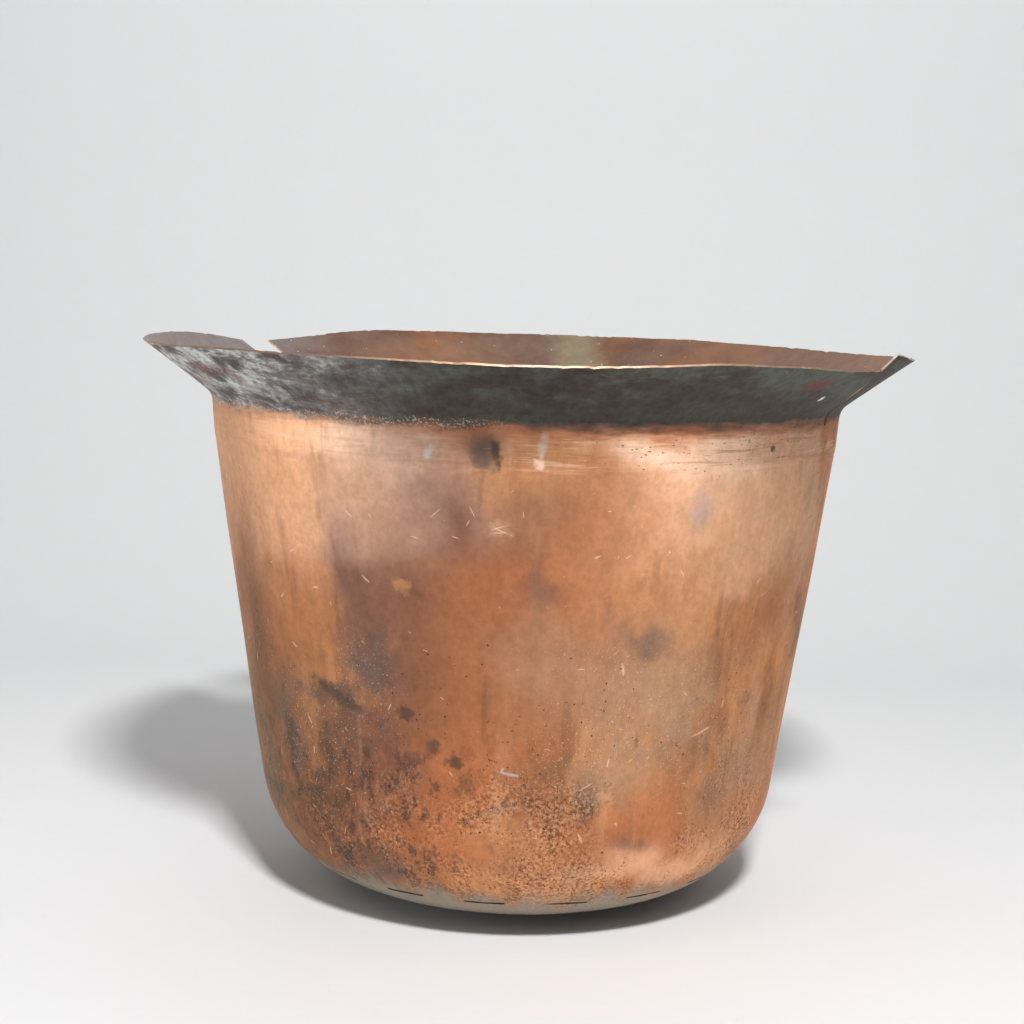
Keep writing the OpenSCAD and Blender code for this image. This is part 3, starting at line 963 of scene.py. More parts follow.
@made_once("node_groups", "Scratches")
def scratch_group(name):
    """Short straight scratches that run level round the tub, in patches."""
    takes = [("Surface", VECTOR, None), ("Fineness", FLOAT, 300.0), ("Amount", FLOAT, 0.5)]
    tree, takes = new_group(name, takes)
    fine = vectors(tree, "MULTIPLY", unrolled(tree, takes["Surface"]), (0.09, 1.0, 1.0))
    inputs = {"Vector": fine, "Scale": takes["Fineness"], "Detail": 1.0}
    thin = step_up(tree, put(tree, "ShaderNodeTexNoise", inputs).outputs["Fac"], 0.69, 0.74)
    here = cloud(tree, takes["Surface"], 22.0, 2.0)
    patchy = step_from(tree, here, sums(tree, "SUBTRACT", 1.0, takes["Amount"]), 0.12)
    return close_group(tree, times(tree, thin, patchy))


@made_once("node_groups", "Pits")
def pit_group(name):
    """Small round pits, more of them where Density is high."""
    takes = [("Surface", VECTOR, None), ("Fineness", FLOAT, 300.0), ("Density", FLOAT, 0.5)]
    tree, takes = new_group(name, takes)
    place = bent(tree, takes["Surface"], 160.0, 1.0, (0.004, 0.004, 0.004))
    cells = put(tree, "ShaderNodeTexVoronoi", {"Vector": place, "Scale": takes["Fineness"]}).outputs
    chance = put(tree, "ShaderNodeSeparateColor", {0: cells["Color"]}).outputs
    dots = sums(tree, "SUBTRACT", times(tree, chance[0], 0.42), cells["Distance"])
    chosen = sums(tree, "LESS_THAN", chance[1], takes["Density"])
    return close_group(tree, times(tree, step_up(tree, dots, 0.0, 0.12), chosen))


@made_once("node_groups", "Flecks")
def fleck_group(name):
    """Short bright flecks that lie every way, as tools leave them."""
    takes = [
        ("Surface", VECTOR, None),
        ("Fineness", FLOAT, 60.0),
        ("Density", FLOAT, 0.3),
        ("Size", VECTOR, None),
    ]
    tree, takes = new_group(name, takes)
    place = bent(tree, unrolled(tree, takes["Surface"]), 90.0, 2.0, (0.002, 0.002, 0.0))
    inputs = {"Vector": place, "Scale": takes["Fineness"]}
    cells = put(tree, "ShaderNodeTexVoronoi", inputs, voronoi_dimensions="2D").outputs
    chance = put(tree, "ShaderNodeSeparateColor", {0: cells["Color"]}).outputs
    away = vectors(tree, "SUBTRACT", place, cells["Position"])
    away = turned(tree, away, times(tree, chance[0], FULL_TURN), "Z_AXIS")
    distance = vectors(tree, "LENGTH", vectors(tree, "DIVIDE", away, takes["Size"]))
    small = scaled(tree, chance[2], 1.6, 0.2)
    spot = step_up(tree, times(tree, distance, small), 1.0, 0.55)
    chosen = sums(tree, "LESS_THAN", chance[1], takes["Density"])
    return close_group(tree, times(tree, spot, chosen))


def new_material(name):
    """An empty material, its node tree, and the output that gives places on the piece."""
    material = bpy.data.materials.new(name)
    material.use_nodes = True
    tree = material.node_tree
    tree.nodes.clear()
    return material, tree, put(tree, "ShaderNodeTexCoord").outputs["Object"]


def on_shader(tree, base, rough, metal, height, bump=0.5, distance=0.001, edge=NO_TINT):
    """Ends a material: its colour, roughness and metal, with the height as relief."""
    relief = put(tree, "ShaderNodeBump", {"Height": height, "Strength": bump, "Distance": distance})
    inputs = {"Base Color": base, "Roughness": rough, "Metallic": metal, "Specular Tint": edge}
    inputs["Normal"] = relief.outputs[0]
    shader = put(tree, "ShaderNodeBsdfPrincipled", inputs)
    output = put(tree, "ShaderNodeOutputMaterial")
    tree.links.new(shader.outputs[0], output.inputs[0])


# ---------------------------------------------------------------- finishes

# Broad tones of the wall outside: azimuth in degrees, height, half width and half height in
# metres, strength and colour. Later ones lie over earlier ones.
TONES = (
    # Next three peach rows: pale upper left, partly rubbed copper, partly a painted reflection.
    (-138, 0.364, 0.150, 0.058, 0.92, "peach"),
    (-146, 0.326, 0.070, 0.036, 0.85, "peach"),
    (-151, 0.377, 0.030, 0.022, 0.80, "peach"),
    (-92, 0.240, 0.050, 0.075, 0.75, "copper"),
    (-113, 0.384, 0.046, 0.018, 0.92, "blush"),
    # Painted shade over the pale upper left, toning down its reflection.
    (-136, 0.362, 0.032, 0.030, 0.48, "gold"),
    # Painted highlight on the band at the front right: a peach glow round a blush core.
    (-62, 0.364, 0.080, 0.040, 0.70, "peach"),
    (-71, 0.382, 0.050, 0.013, 0.78, "blush"),
    (-46, 0.386, 0.065, 0.016, 0.85, "blush"),
    (-28, 0.325, 0.034, 0.065, 0.70, "sand"),
    (-44, 0.336, 0.060, 0.034, 0.85, "peach"),
    (-54, 0.311, 0.048, 0.026, 0.55, "peach"),
    (-136, 0.263, 0.043, 0.047, 0.80, "copper"),
    (-152, 0.235, 0.030, 0.075, 0.80, "umber"),
    (-123, 0.315, 0.019, 0.031, 0.75, "lilac"),
    (-120, 0.270, 0.026, 0.030, 0.80, "plum"),
    (-99, 0.345, 0.060, 0.036, 0.92, "lilac"),
    (-87, 0.372, 0.045, 0.025, 0.85, "gold"),
    (-55, 0.262, 0.045, 0.040, 0.60, "gold"),
    (-101, 0.330, 0.014, 0.022, 0.75, "plum"),
    (-106, 0.395, 0.026, 0.011, 0.60, "russet"),
    (-108, 0.264, 0.035, 0.044, 0.60, "plum"),
    (-92, 0.276, 0.045, 0.030, 0.85, "copper"),
    (-95, 0.215, 0.040, 0.030, 0.60, "copper"),
    (-76, 0.282, 0.037, 0.026, 0.75, "gold"),
    (-88, 0.262, 0.058, 0.072, 0.80, "russet"),
    (-90, 0.335, 0.034, 0.028, 0.30, "umber"),
    (-77, 0.334, 0.032, 0.030, 0.62, "copper"),
    (-85, 0.280, 0.006, 0.025, 0.80, "plum"),
    (-74, 0.276, 0.005, 0.019, 0.50, "plum"),
    (-37, 0.256, 0.034, 0.041, 0.50, "russet"),
    (-84, 0.228, 0.038, 0.031, 0.60, "tan"),
    (-62, 0.204, 0.056, 0.051, 0.70, "tan"),
    (-68, 0.245, 0.016, 0.008, 0.60, "slate"),
    (-117, 0.226, 0.022, 0.017, 0.70, "slate"),
    (-126, 0.186, 0.035, 0.009, 0.60, "slate"),
    (-117, 0.155, 0.040, 0.040, 0.88, "plum"),
    (-141, 0.155, 0.014, 0.034, 0.75, "slate"),
    (-130, 0.138, 0.006, 0.023, 0.80, "soot"),
    (-154, 0.111, 0.030, 0.060, 0.85, "olive"),
    (-130, 0.090, 0.060, 0.060, 0.85, "umber"),
    (-122, 0.072, 0.030, 0.028, 0.60, "plum"),
    (-131, 0.104, 0.014, 0.010, 0.70, "soot"),
    (-119, 0.086, 0.008, 0.009, 0.60, "soot"),
    (-102, 0.100, 0.042, 0.036, 0.80, "rust"),
    (-100, 0.153, 0.036, 0.026, 0.45, "rust"),
    (-85, 0.148, 0.014, 0.014, 0.50, "umber"),
    (-76, 0.126, 0.006, 0.019, 0.75, "soot"),
    (-92, 0.111, 0.013, 0.006, 0.60, "slate"),
    (-79, 0.062, 0.015, 0.012, 0.60, "slate"),
    (-116, 0.062, 0.017, 0.014, 0.65, "slate"),
    (-68, 0.092, 0.069, 0.025, 0.55, "rust"),
    (-67, 0.082, 0.010, 0.010, 0.60, "plum"),
    (-49, 0.124, 0.016, 0.018, 0.55, "umber"),
    (-37, 0.129, 0.062, 0.053, 0.55, "tan"),
    (-91, 0.090, 0.032, 0.020, 0.65, "gold"),
    (-96, 0.396, 0.011, 0.010, 0.75, "soot"),
    # Painted shade, dulling the low front where the front lamp falls strongest.
    (-80, 0.078, 0.045, 0.030, 0.20, "umber"),
    (-72, 0.142, 0.030, 0.020, 0.55, "tan"),
    (-84, 0.182, 0.022, 0.018, 0.60, "copper"),
    # Painted reflection of the bright floor, in these two strips low on the corner.
    (-58, 0.058, 0.085, 0.018, 0.72, "peach"),
    (-90, 0.045, 0.060, 0.012, 0.60, "gold"),
)
DULLNESS = {"soot": 1.0, "slate": 0.8, "plum": 0.5, "lilac": 0.6, "olive": 0.5, "umber": 0.3}

# Small marks outside: azimuth in degrees, height, half width and half height in metres, turn in
# degrees, softness, strength and colour.
MARKS = (
    (-96.5, 0.3795, 0.008, 0.011, 5, 0.6, 0.70, "slate"),
    (-94.6, 0.3800, 0.0026, 0.010, -14, 0.6, 0.75, "soot"),
    (-105.6, 0.3780, 0.0026, 0.0055, 28, 0.5, 0.70, "chalk"),
    (-87.3, 0.3870, 0.0024, 0.011, 4, 0.8, 0.50, "white"),
    (-87.7, 0.3730, 0.0034, 0.003, 0, 0.7, 0.80, "blush"),
    (-44.6, 0.3817, 0.0022, 0.002, 0, 0.5, 0.90, "green"),
    (-59.6, 0.3380, 0.009, 0.012, 10, 0.8, 0.45, "stone"),
    (-58.0, 0.3180, 0.012, 0.006, 0, 0.9, 0.50, "peach"),
    (-93.9, 0.3257, 0.008, 0.006, 20, 0.9, 0.35, "peach"),
    (-94.2, 0.3268, 0.0060, 0.0004, -18, 0.6, 0.50, "blush"),
    (-93.6, 0.3250, 0.0055, 0.0004, 22, 0.6, 0.50, "blush"),
    (-93.9, 0.3236, 0.0050, 0.0004, -6, 0.6, 0.45, "blush"),
    # Painted light and shade of the dent at this place: a gold highlight, with umber shade beside
    # it.
    (-110.6, 0.2805, 0.0070, 0.0042, 18, 0.45, 0.60, "gold"),
    (-108.6, 0.2765, 0.0095, 0.0030, 18, 0.6, 0.60, "umber"),
    (-126.0, 0.1900, 0.024, 0.0045, 22, 0.7, 0.70, "soot"),
    (-111.2, 0.1850, 0.0055, 0.0055, 0, 0.5, 0.75, "soot"),
    (-105.8, 0.1610, 0.0040, 0.0060, 0, 0.6, 0.70, "soot"),
    (-101.4, 0.1510, 0.0050, 0.0055, 0, 0.5, 0.75, "soot"),
    (-91.2, 0.1438, 0.0065, 0.0010, 12, 0.6, 0.55, "chalk"),
    (-92.6, 0.1475, 0.0010, 0.0026, 30, 0.6, 0.45, "chalk"),
)
FLANGE_MARKS = (
    (-46.3, 0.4310, 0.011, 0.0035, -5, 0.6, 0.80, "rouge"),
    (-40.5, 0.4193, 0.0024, 0.0020, 20, 0.5, 1.00, "white"),
    (-146.0, 0.4270, 0.012, 0.0060, 0, 0.8, 0.50, "rouge"),
    (-141.8, 0.4180, 0.005, 0.0050, 40, 0.6, 0.60, "chalk"),
)
MARK_DEPTH = 0.05  # how far a mark reaches through the sheet
MOUTH_RISE = 0.0018  # height of the middle of the open mouths over the seam
FLECKS = (  # fineness, share of the crowd, and size in metres
    (30.0, 0.22, (0.0034, 0.00032, 1.0)),
    (85.0, 0.30, (0.0014, 0.0003, 1.0)),
)
PAPER = (0.797, 0.801, 0.808), (0.817, 0.821, 0.828)


def tone_colour(name):
    return tuple(getattr(bpy.context.scene.boiler_finish, name))


def wandering(points):
    """How far the edge of a tone wanders at each point, round the tub and up it."""
    across, up = np.empty(len(points)), np.empty(len(points))
    one, two = Vector((4, 9, 1)), Vector((23, 5, 14))
    three, four = Vector((8, 3, 6)), Vector((2, 31, 17))
    for i, point in enumerate(points):
        spot = Vector(point)
        across[i] = 0.018 * noise.noise(spot * 14 + one) + 0.009 * noise.noise(spot * 48 + three)
        up[i] = 0.026 * noise.noise(spot * 14 + two) + 0.014 * noise.noise(spot * 48 + four)
    return across, up


def paint_tones(piece):
    """Gives each corner the colour of the tones there, with their cover in alpha, and dullness."""
    points = read_points(piece)
    azimuth = np.arctan2(points[:, 1], points[:, 0])
    radius = np.hypot(points[:, 0], points[:, 1])
    sideways, upward = wandering(points)
    paint, cover, dull = np.zeros((len(points), 3)), np.zeros(len(points)), np.zeros(len(points))
    for place, height, across, up, strength, name in TONES:
        turn = np.angle(np.exp(1j * (azimuth - math.radians(place))))
        away = ((turn * radius + sideways) / across) ** 2
        away += ((points[:, 2] + upward - height) / up) ** 2
        mask = strength * np.exp(-0.8 * away)
        paint += mask[:, None] * (np.array(tone_colour(name)) - paint)
        cover += mask * (1 - cover)
        dull += mask * (DULLNESS.get(name, 0.0) - dull)
    paint /= np.maximum(cover, 1e-4)[:, None]
    tones = piece.data.color_attributes.new("tones", "FLOAT_COLOR", "POINT")
    tones.data.foreach_set("color", np.column_stack([paint, cover]).ravel())
    dullness = piece.data.attributes.new("dullness", "FLOAT", "POINT")
    dullness.data.foreach_set("value", dull)


def marked(tree, on, base, marks):
    """Lays marks over a base colour. Returns the colour and the mask of each mark."""
    ragged = put(tree, "ShaderNodeTexNoise", {"Vector": on.surface, "Scale": 190.0, "Detail": 4.0})
    centred = vectors(tree, "SUBTRACT", ragged.outputs["Color"], (0.5, 0.5, 0.5))
    fray = vectors(tree, "MULTIPLY", centred, (0.0, 2.6, 2.6))
    masks = []
    for azimuth, height, across, up, turn, softness, strength, name in marks:
        angle, radius = math.radians(azimuth), mark_radius(on.shape, height)
        mask = masked(
            tree,
            mark_group(),
            Surface=on.surface,
            Place=(radius * math.cos(angle), radius * math.sin(angle), height),
            Azimuth=angle,
            Turn=math.radians(turn),
            Spread=(MARK_DEPTH, across, up),
            Fray=fray,
            Softness=softness,
        )
        masks.append(times(tree, mask, strength))
        base = blend(tree, masks[-1], base, tone_colour(name))
    return base, masks


def mark_radius(shape, height):
    if height <= shape.joint_z:
        return float(shape.wall_point(np.array([height]))[0][0])
    return shape.tub.neck_radius + (height - shape.tub.neck_height) / math.tan(shape.flange.rise)


class Outside:
    """Places and patterns that all the layers of the outside share."""

    def __init__(self, tree, surface):
        self.surface = surface
        self.shape, self.finish = Profile(), bpy.context.scene.boiler_finish
        self.across, self.back, self.height = parts(tree, surface)
        # Around is the surface rolled to a plain cylinder, so that patterns run straight up it.
        self.level = vectors(tree, "NORMALIZE", vectors(tree, "MULTIPLY", surface, (1.0, 1.0, 0.0)))
        up = put(tree, "ShaderNodeCombineXYZ", {2: self.height}).outputs[0]
        rolled = (ROLLED_RADIUS, ROLLED_RADIUS, 0.0)
        self.around = vectors(tree, "MULTIPLY_ADD", self.level, rolled, up)
        self.fine = cloud(tree, self.around, 190.0, 6.0, 0.68)
        self.smoke = cloud(tree, stretched(tree, self.around, 0.7), 30.0, 6.0, 0.68)


def wall_copper(tree, on):
    """The copper: clouds of gold, brown, plum and peach, ruddy low down; the upper peach is partly
    painted light.
    """
    finish, around, height = on.finish, on.around, on.height
    drift = stretched(tree, around, 0.62)
    dark = cloud(tree, drift, 13.0, 8.0, 0.60, 0.3)
    base = stain(tree, finish.copper, finish.umber, step_up(tree, dark, 0.45, 0.63))
    warm = cloud(tree, drift, 9.0, 7.0, 0.60)
    base = stain(tree, base, finish.gold, step_up(tree, warm, 0.47, 0.60), 0.75)
    cool = cloud(tree, around, 15.0, 7.0, 0.62, 0.4)
    base = stain(tree, base, finish.plum, step_up(tree, cool, 0.54, 0.66), 0.60)
    # Paler peach towards the top: partly rubbed copper, partly painted light on the upper wall and
    # band.
    pale = step_up(tree, cloud(tree, around, 12.0, 7.0, 0.62), 0.44, 0.62)
    base = stain(tree, base, finish.peach, pale, step_up(tree, height, 0.24, 0.40), 0.65)
    ruddy = step_up(tree, cloud(tree, around, 17.0, 6.0, 0.6), 0.42, 0.56)
    base = stain(tree, base, finish.rust, step_up(tree, height, 0.17, 0.08), ruddy, 0.75)
    left, low = step_up(tree, on.across, -0.08, -0.20), step_up(tree, height, 0.29, 0.20)
    return stain(tree, base, finish.umber, left, low, 0.62)


def toned(tree, on, base):
    """The tones that are painted on the corners, with torn edges."""
    tones = put(tree, "ShaderNodeAttribute", attribute_name="tones").outputs
    torn = cloud(tree, stretched(tree, on.around, 0.8), 36.0, 8.0, 0.64, 0.3)
    cover = sums(tree, "ADD", tones["Alpha"], scaled(tree, torn, 1.15, -0.575))
    return stain(tree, base, tones["Color"], step_up(tree, cover, 0.14, 0.76, 0.0, 0.92))


def streaked(tree, on, base):
    """A few faint runs down the wall, in patches, and a fine mottling all over."""
    finish, around = on.finish, on.around
    streak = cloud(tree, stretched(tree, around, 0.13), 46.0, 5.0, 0.60)
    here = step_up(tree, cloud(tree, around, 9.0, 3.0), 0.44, 0.62)
    dark, pale = (finish.umber, 0.53, 0.68, 0.55), (finish.peach, 0.45, 0.33, 0.20)
    base = stains(tree, base, streak, here, dark, pale)
    mottle = cloud(tree, stretched(tree, around, 0.5), 75.0, 6.0, 0.66)
    mottle = step_up(tree, mottle, 0.34, 0.68, 1.07, 0.93)
    shade = times(tree, mottle, step_up(tree, on.fine, 0.34, 0.68, 1.08, 0.93))
    return vectors(tree, "SCALE", base, shade)


def polished(tree, on, base):
    """Level polish lines on the band, stronger at the right."""
    finish = on.finish
    lines = cloud(tree, stretched(tree, on.around, 15.0), 20.0, 6.0, 0.62)
    right = step_up(tree, on.across, -0.10, 0.06, 0.4, 1.0)
    on_band = times(tree, step_up(tree, on.height, 0.360, 0.376), right)
    dark, pale = (finish.russet, 0.53, 0.64, 0.42), (finish.blush, 0.47, 0.36, 0.40)
    return stains(tree, base, lines, on_band, dark, pale)


def sooted(tree, on, base):
    """Torn soot low down, heaviest at the left, with scabs. Returns its mask and weight too."""
    finish, height, across = on.finish, on.height, on.across
    left = scaled(tree, step_up(tree, across, 0.08, -0.18), 0.6, 0.4)
    weight = times(tree, step_up(tree, height, 0.26, 0.07), left)
    limit = scaled(tree, weight, -0.17, 0.70)
    soot = step_from(tree, on.smoke, limit, 0.10, 0.72, "SMOOTHSTEP")
    base = blend(tree, soot, base, finish.soot)
    scabs = cloud(tree, stretched(tree, on.around, 0.75), 78.0, 7.0, 0.66)
    here = times(tree, step_up(tree, height, 0.20, 0.13), step_up(tree, across, 0.03, -0.08))
    dark, bare = (finish.soot, 0.52, 0.60, 0.62), (finish.rust, 0.46, 0.38, 0.36)
    return stains(tree, base, scabs, here, dark, bare), soot, weight


def pitted(tree, on, base, weight):
    """Grit and pits low down, and rows of pits on the band at the right. Returns their mask too."""
    finish, surface, around = on.finish, on.surface, on.around
    crowd = step_up(tree, cloud(tree, surface, 15.0, 4.0, 0.6), 0.40, 0.60)
    grit = cloud(tree, surface, 400.0, 5.0, 0.72)
    low, off_left = step_up(tree, on.height, 0.165, 0.10), step_up(tree, on.across, -0.19, -0.10)
    eaten = times(tree, low, crowd, off_left)
    base = stain(tree, base, finish.peach, step_up(tree, grit, 0.50, 0.40), eaten, 0.55)
    hollows = times(tree, step_up(tree, grit, 0.54, 0.60), eaten)
    base = stain(tree, base, finish.hollow, hollows, 0.55)

    density = times(tree, weight, scaled(tree, crowd, 0.7, 0.05))
    pits = masked(tree, pit_group(), Surface=surface, Fineness=520.0, Density=density)
    band = times(tree, step_up(tree, on.height, 0.362, 0.374), step_up(tree, on.across, 0.02, 0.10))
    patchy = step_up(tree, cloud(tree, stretched(tree, around, 4.0), 30.0, 3.0), 0.45, 0.60)
    density, rows = times(tree, band, patchy, 0.6), stretched(tree, around, 2.6)
    band_pits = masked(tree, pit_group(), Surface=rows, Fineness=330.0, Density=density)
    pits = highest(tree, pits, band_pits)
    base = stain(tree, base, finish.pit, pits, 0.75)
    return base, highest(tree, pits, times(tree, hollows, 0.7))


def speckled(tree, on, base):
    """Pale grains in the middle of the wall."""
    grains = step_up(tree, cloud(tree, on.surface, 700.0, 2.0, 0.7), 0.63, 0.69)
    middle = times(tree, step_up(tree, on.height, 0.26, 0.22), step_up(tree, on.height, 0.07, 0.13))
    patchy = step_up(tree, cloud(tree, on.surface, 11.0, 4.0), 0.42, 0.60)
    return stain(tree, base, on.finish.chalk, grains, times(tree, middle, patchy), 0.70)


def scratched(tree, on, base):
    """Level scratches on the band, and loose flecks all over. Returns their mask too."""
    surface = on.surface
    lines = masked(tree, scratch_group(), Surface=surface, Fineness=560.0, Amount=0.62)
    masks = [times(tree, lines, step_up(tree, on.height, 0.36, 0.374))]
    crowd = step_up(tree, cloud(tree, surface, 12.0, 3.0), 0.40, 0.60, 0.12, 0.75)
    for fineness, share, size in FLECKS:
        density = times(tree, crowd, share)
        inputs = {"Surface": surface, "Fineness": fineness, "Density": density, "Size": size}
        masks.append(masked(tree, fleck_group(), **inputs))
    scratches = highest(tree, *masks)
    return stain(tree, base, on.finish.blush, scratches, 0.45), scratches


def seam_mouths(tree, on, hem):
    """The thin dark mouths at the ends of the outer tabs of the bottom seam: dirt and painted shade
    in the open seam.
    """
    shape, tabs = on.shape, on.shape.seams.cramp_count
    angle = sums(tree, "ARCTAN2", on.back, on.across)
    turn = scaled(tree, angle, tabs, -tabs * shape.seams.cramp_place)
    outer = step_up(tree, sums(tree, "COSINE", turn), 0.02, 0.12)
    rolled = vectors(tree, "MULTIPLY", on.level, (ROLLED_RADIUS, ROLLED_RADIUS, 0.0))
    width = step_up(tree, cloud(tree, rolled, 21.0, 3.0), 0.34, 0.52, 0.0002, 0.0010)
    mouth_z = shape.dip_z(shape.seams.seam_dip) + MOUTH_RISE
    away = sums(tree, "SUBTRACT", scaled(tree, hem, 0.002, on.height), mouth_z)
    return times(tree, outer, sums(tree, "LESS_THAN", sums(tree, "ABSOLUTE", away), width))


def hemmed(tree, on, base):
    """A greenish grey film along the bottom edge, and fire soot under it that is partly painted
    shade. Returns the film too.
    """
    hem = cloud(tree, stretched(tree, on.around, 0.4), 26.0, 5.0, 0.6)
    film = step_up(tree, scaled(tree, hem, -0.060, on.height), 0.021, -0.002)
    base = stain(tree, base, on.finish.film, film, 0.80)
    # Dirt and painted shade in the open mouths of the bottom seam.
    base = stain(tree, base, on.finish.mouth, seam_mouths(tree, on, hem), 0.92)
    # The dark underside: partly fire soot, partly painted shade that keeps the floor under the tub
    # dark.
    under = step_up(tree, scaled(tree, on.smoke, 0.012, on.height), 0.026, 0.018)
    return stain(tree, base, on.finish.soot, under, 0.8), film


def flange_skin(tree, on, neck_z):
    """Dark patina, green in places and grey at the left, partly painted light. Returns its grain
    and bloom too.
    """
    finish, around, across = on.finish, on.around, on.across
    # A step along the slope counts as much as one round the tub.
    slope = stretched(tree, around, 2.5)
    blots = cloud(tree, slope, 34.0, 8.0, 0.68, 0.6)
    grain = cloud(tree, slope, 150.0, 6.0, 0.72)
    leftward = step_up(tree, across, -0.05, -0.23)
    rimward = step_up(tree, on.height, 0.405, 0.445)
    green = step_up(tree, cloud(tree, slope, 17.0, 6.0, 0.6), 0.42, 0.58)
    skin = stain(tree, finish.black, finish.green, green, scaled(tree, rimward, 0.7, 0.3), 0.85)
    # Lighter grey at the left: partly grey patina, partly painted light where the left lamp falls.
    skin = stain(tree, skin, finish.stone, leftward, step_up(tree, blots, 0.38, 0.56, 0.12, 0.80))
    bloom = scaled(tree, blots, 0.6, times(tree, grain, 0.4))
    start = scaled(tree, rimward, -0.035, scaled(tree, leftward, -0.11, 0.605))
    bloomed = step_from(tree, bloom, start, 0.10, 0.85)
    skin = stain(tree, skin, finish.chalk, bloomed, scaled(tree, leftward, 0.9, 0.1))
    skin = stain(tree, skin, finish.black, step_up(tree, grain, 0.50, 0.36, 0.0, 0.40))
    purple = step_up(tree, cloud(tree, slope, 21.0, 6.0, 0.62), 0.50, 0.62)
    skin = stain(tree, skin, finish.plum, purple, leftward, 0.60)
    # Pale crumbs along the neck, at the left.
    crust = times(tree, step_up(tree, neck_z, 0.391, 0.3965), step_up(tree, neck_z, 0.4045, 0.399))
    crumbs = step_up(tree, cloud(tree, around, 640.0, 2.0, 0.6), 0.53, 0.62)
    crumbs = times(tree, step_up(tree, across, 0.01, -0.06), crumbs)
    skin = stain(tree, skin, finish.chalk, crust, crumbs, 0.6)
    skin = vectors(tree, "SCALE", skin, step_up(tree, on.fine, 0.36, 0.64, 1.26, 0.76))
    return skin, grain, bloom


@made_once("materials", "worn_copper")
def worn_copper(name):
    """Outside: tarnished copper with soot, pits and scratches, and dark patina on the flange."""
    material, tree, surface = new_material(name)
    on = Outside(tree, surface)
    base = wall_copper(tree, on)
    for layer in (toned, streaked, polished):
        base = layer(tree, on, base)
    base, soot, weight = sooted(tree, on, base)
    base, pits = pitted(tree, on, base, weight)
    base, scratches = scratched(tree, on, speckled(tree, on, base))
    base, film = hemmed(tree, on, base)
    base, marks = marked(tree, on, base, MARKS)

    # The patina of the flange has a torn edge along the neck, with a ruddy line under it.
    torn = cloud(tree, stretched(tree, on.around, 4.5), 34.0, 7.0, 0.66)
    neck_z = scaled(tree, torn, 0.018, sums(tree, "SUBTRACT", on.height, 0.009))
    ruddy = step_up(tree, neck_z, 0.3860, 0.3975)
    right = step_up(tree, on.across, -0.12, 0.0, 0.30, 0.80)
    base = stain(tree, base, on.finish.russet, ruddy, right)
    patina = step_up(tree, neck_z, 0.3930, 0.4030)
    skin, grain, bloom = flange_skin(tree, on, neck_z)
    base, _ = marked(tree, on, blend(tree, patina, base, skin), FLANGE_MARKS)

    dullness = put(tree, "ShaderNodeAttribute", attribute_name="dullness").outputs["Fac"]
    dull = highest(tree, soot, film, *marks, times(tree, dullness, 0.4))
    rough = lerp(tree, dull, scaled(tree, on.fine, 0.20, 0.32), 0.60)
    rough = lerp(tree, pits, rough, 0.85)
    rough = lerp(tree, patina, rough, scaled(tree, grain, 0.3, 0.50))
    metal = lerp(tree, patina, lerp(tree, dull, 0.92, 0.50), 0.15)
    relief = times(tree, pits, -0.9)
    bloom = times(tree, bloom, patina)
    for pattern, depth in ((scratches, -0.25), (bloom, 0.9), (on.fine, 0.12), (on.smoke, 0.25)):
        relief = scaled(tree, pattern, depth, relief)
    on_shader(tree, base, rough, metal, relief, 0.6, 0.0007, EDGE_TINT)
    return material


@made_once("materials", "inside_copper")
def inside_copper(name):
    """Inside: dull brown copper with a greenish run and pale flecks."""
    finish = bpy.context.scene.boiler_finish
    material, tree, surface = new_material(name)
    across, back, height = parts(tree, surface)
    runs = cloud(tree, stretched(tree, surface, 0.35), 26.0, 7.0, 0.64)
    clouds = cloud(tree, surface, 11.0, 7.0, 0.6)
    base = stain(tree, finish.inside, finish.umber, step_up(tree, runs, 0.42, 0.64, 0.0, 0.62))
    base = stain(tree, base, finish.copper, step_up(tree, clouds, 0.48, 0.62, 0.0, 0.42))
    base = stain(tree, base, finish.dun, step_up(tree, across, 0.08, 0.22, 0.0, 0.40))
    behind = step_up(tree, back, 0.0, 0.1)
    off_glow = sums(tree, "ABSOLUTE", sums(tree, "ADD", across, 0.095))
    below_rim = step_up(tree, height, 0.447, 0.425)
    glow = times(tree, behind, step_up(tree, off_glow, 0.09, 0.01), below_rim)
    base = stain(tree, base, finish.gold, glow, 0.30)
    off_run = sums(tree, "ABSOLUTE", sums(tree, "SUBTRACT", across, 0.048))
    off_run = scaled(tree, runs, 0.030, off_run)
    green_run = times(tree, behind, step_up(tree, off_run, 0.048, 0.022))
    base = stain(tree, base, finish.run, green_run, 0.55)
    base = stain(tree, base, finish.stone, step_up(tree, across, -0.17, -0.26, 0.0, 0.58))
    mottle = cloud(tree, surface, 55.0, 7.0, 0.70)
    base = vectors(tree, "SCALE", base, step_up(tree, mottle, 0.34, 0.66, 1.10, 0.90))
    flecks = masked(tree, pit_group(), Surface=surface, Fineness=330.0, Density=0.06)
    base = stain(tree, base, finish.blush, flecks, 0.7)
    rough = sums(tree, "ADD", 0.46, times(tree, clouds, 0.2))
    metal = lerp(tree, green_run, 0.85, 0.4)
    relief = sums(tree, "ADD", times(tree, runs, 0.3), times(tree, flecks, 0.4))
    on_shader(tree, base, rough, metal, relief, 0.5, 0.0005)
    return material


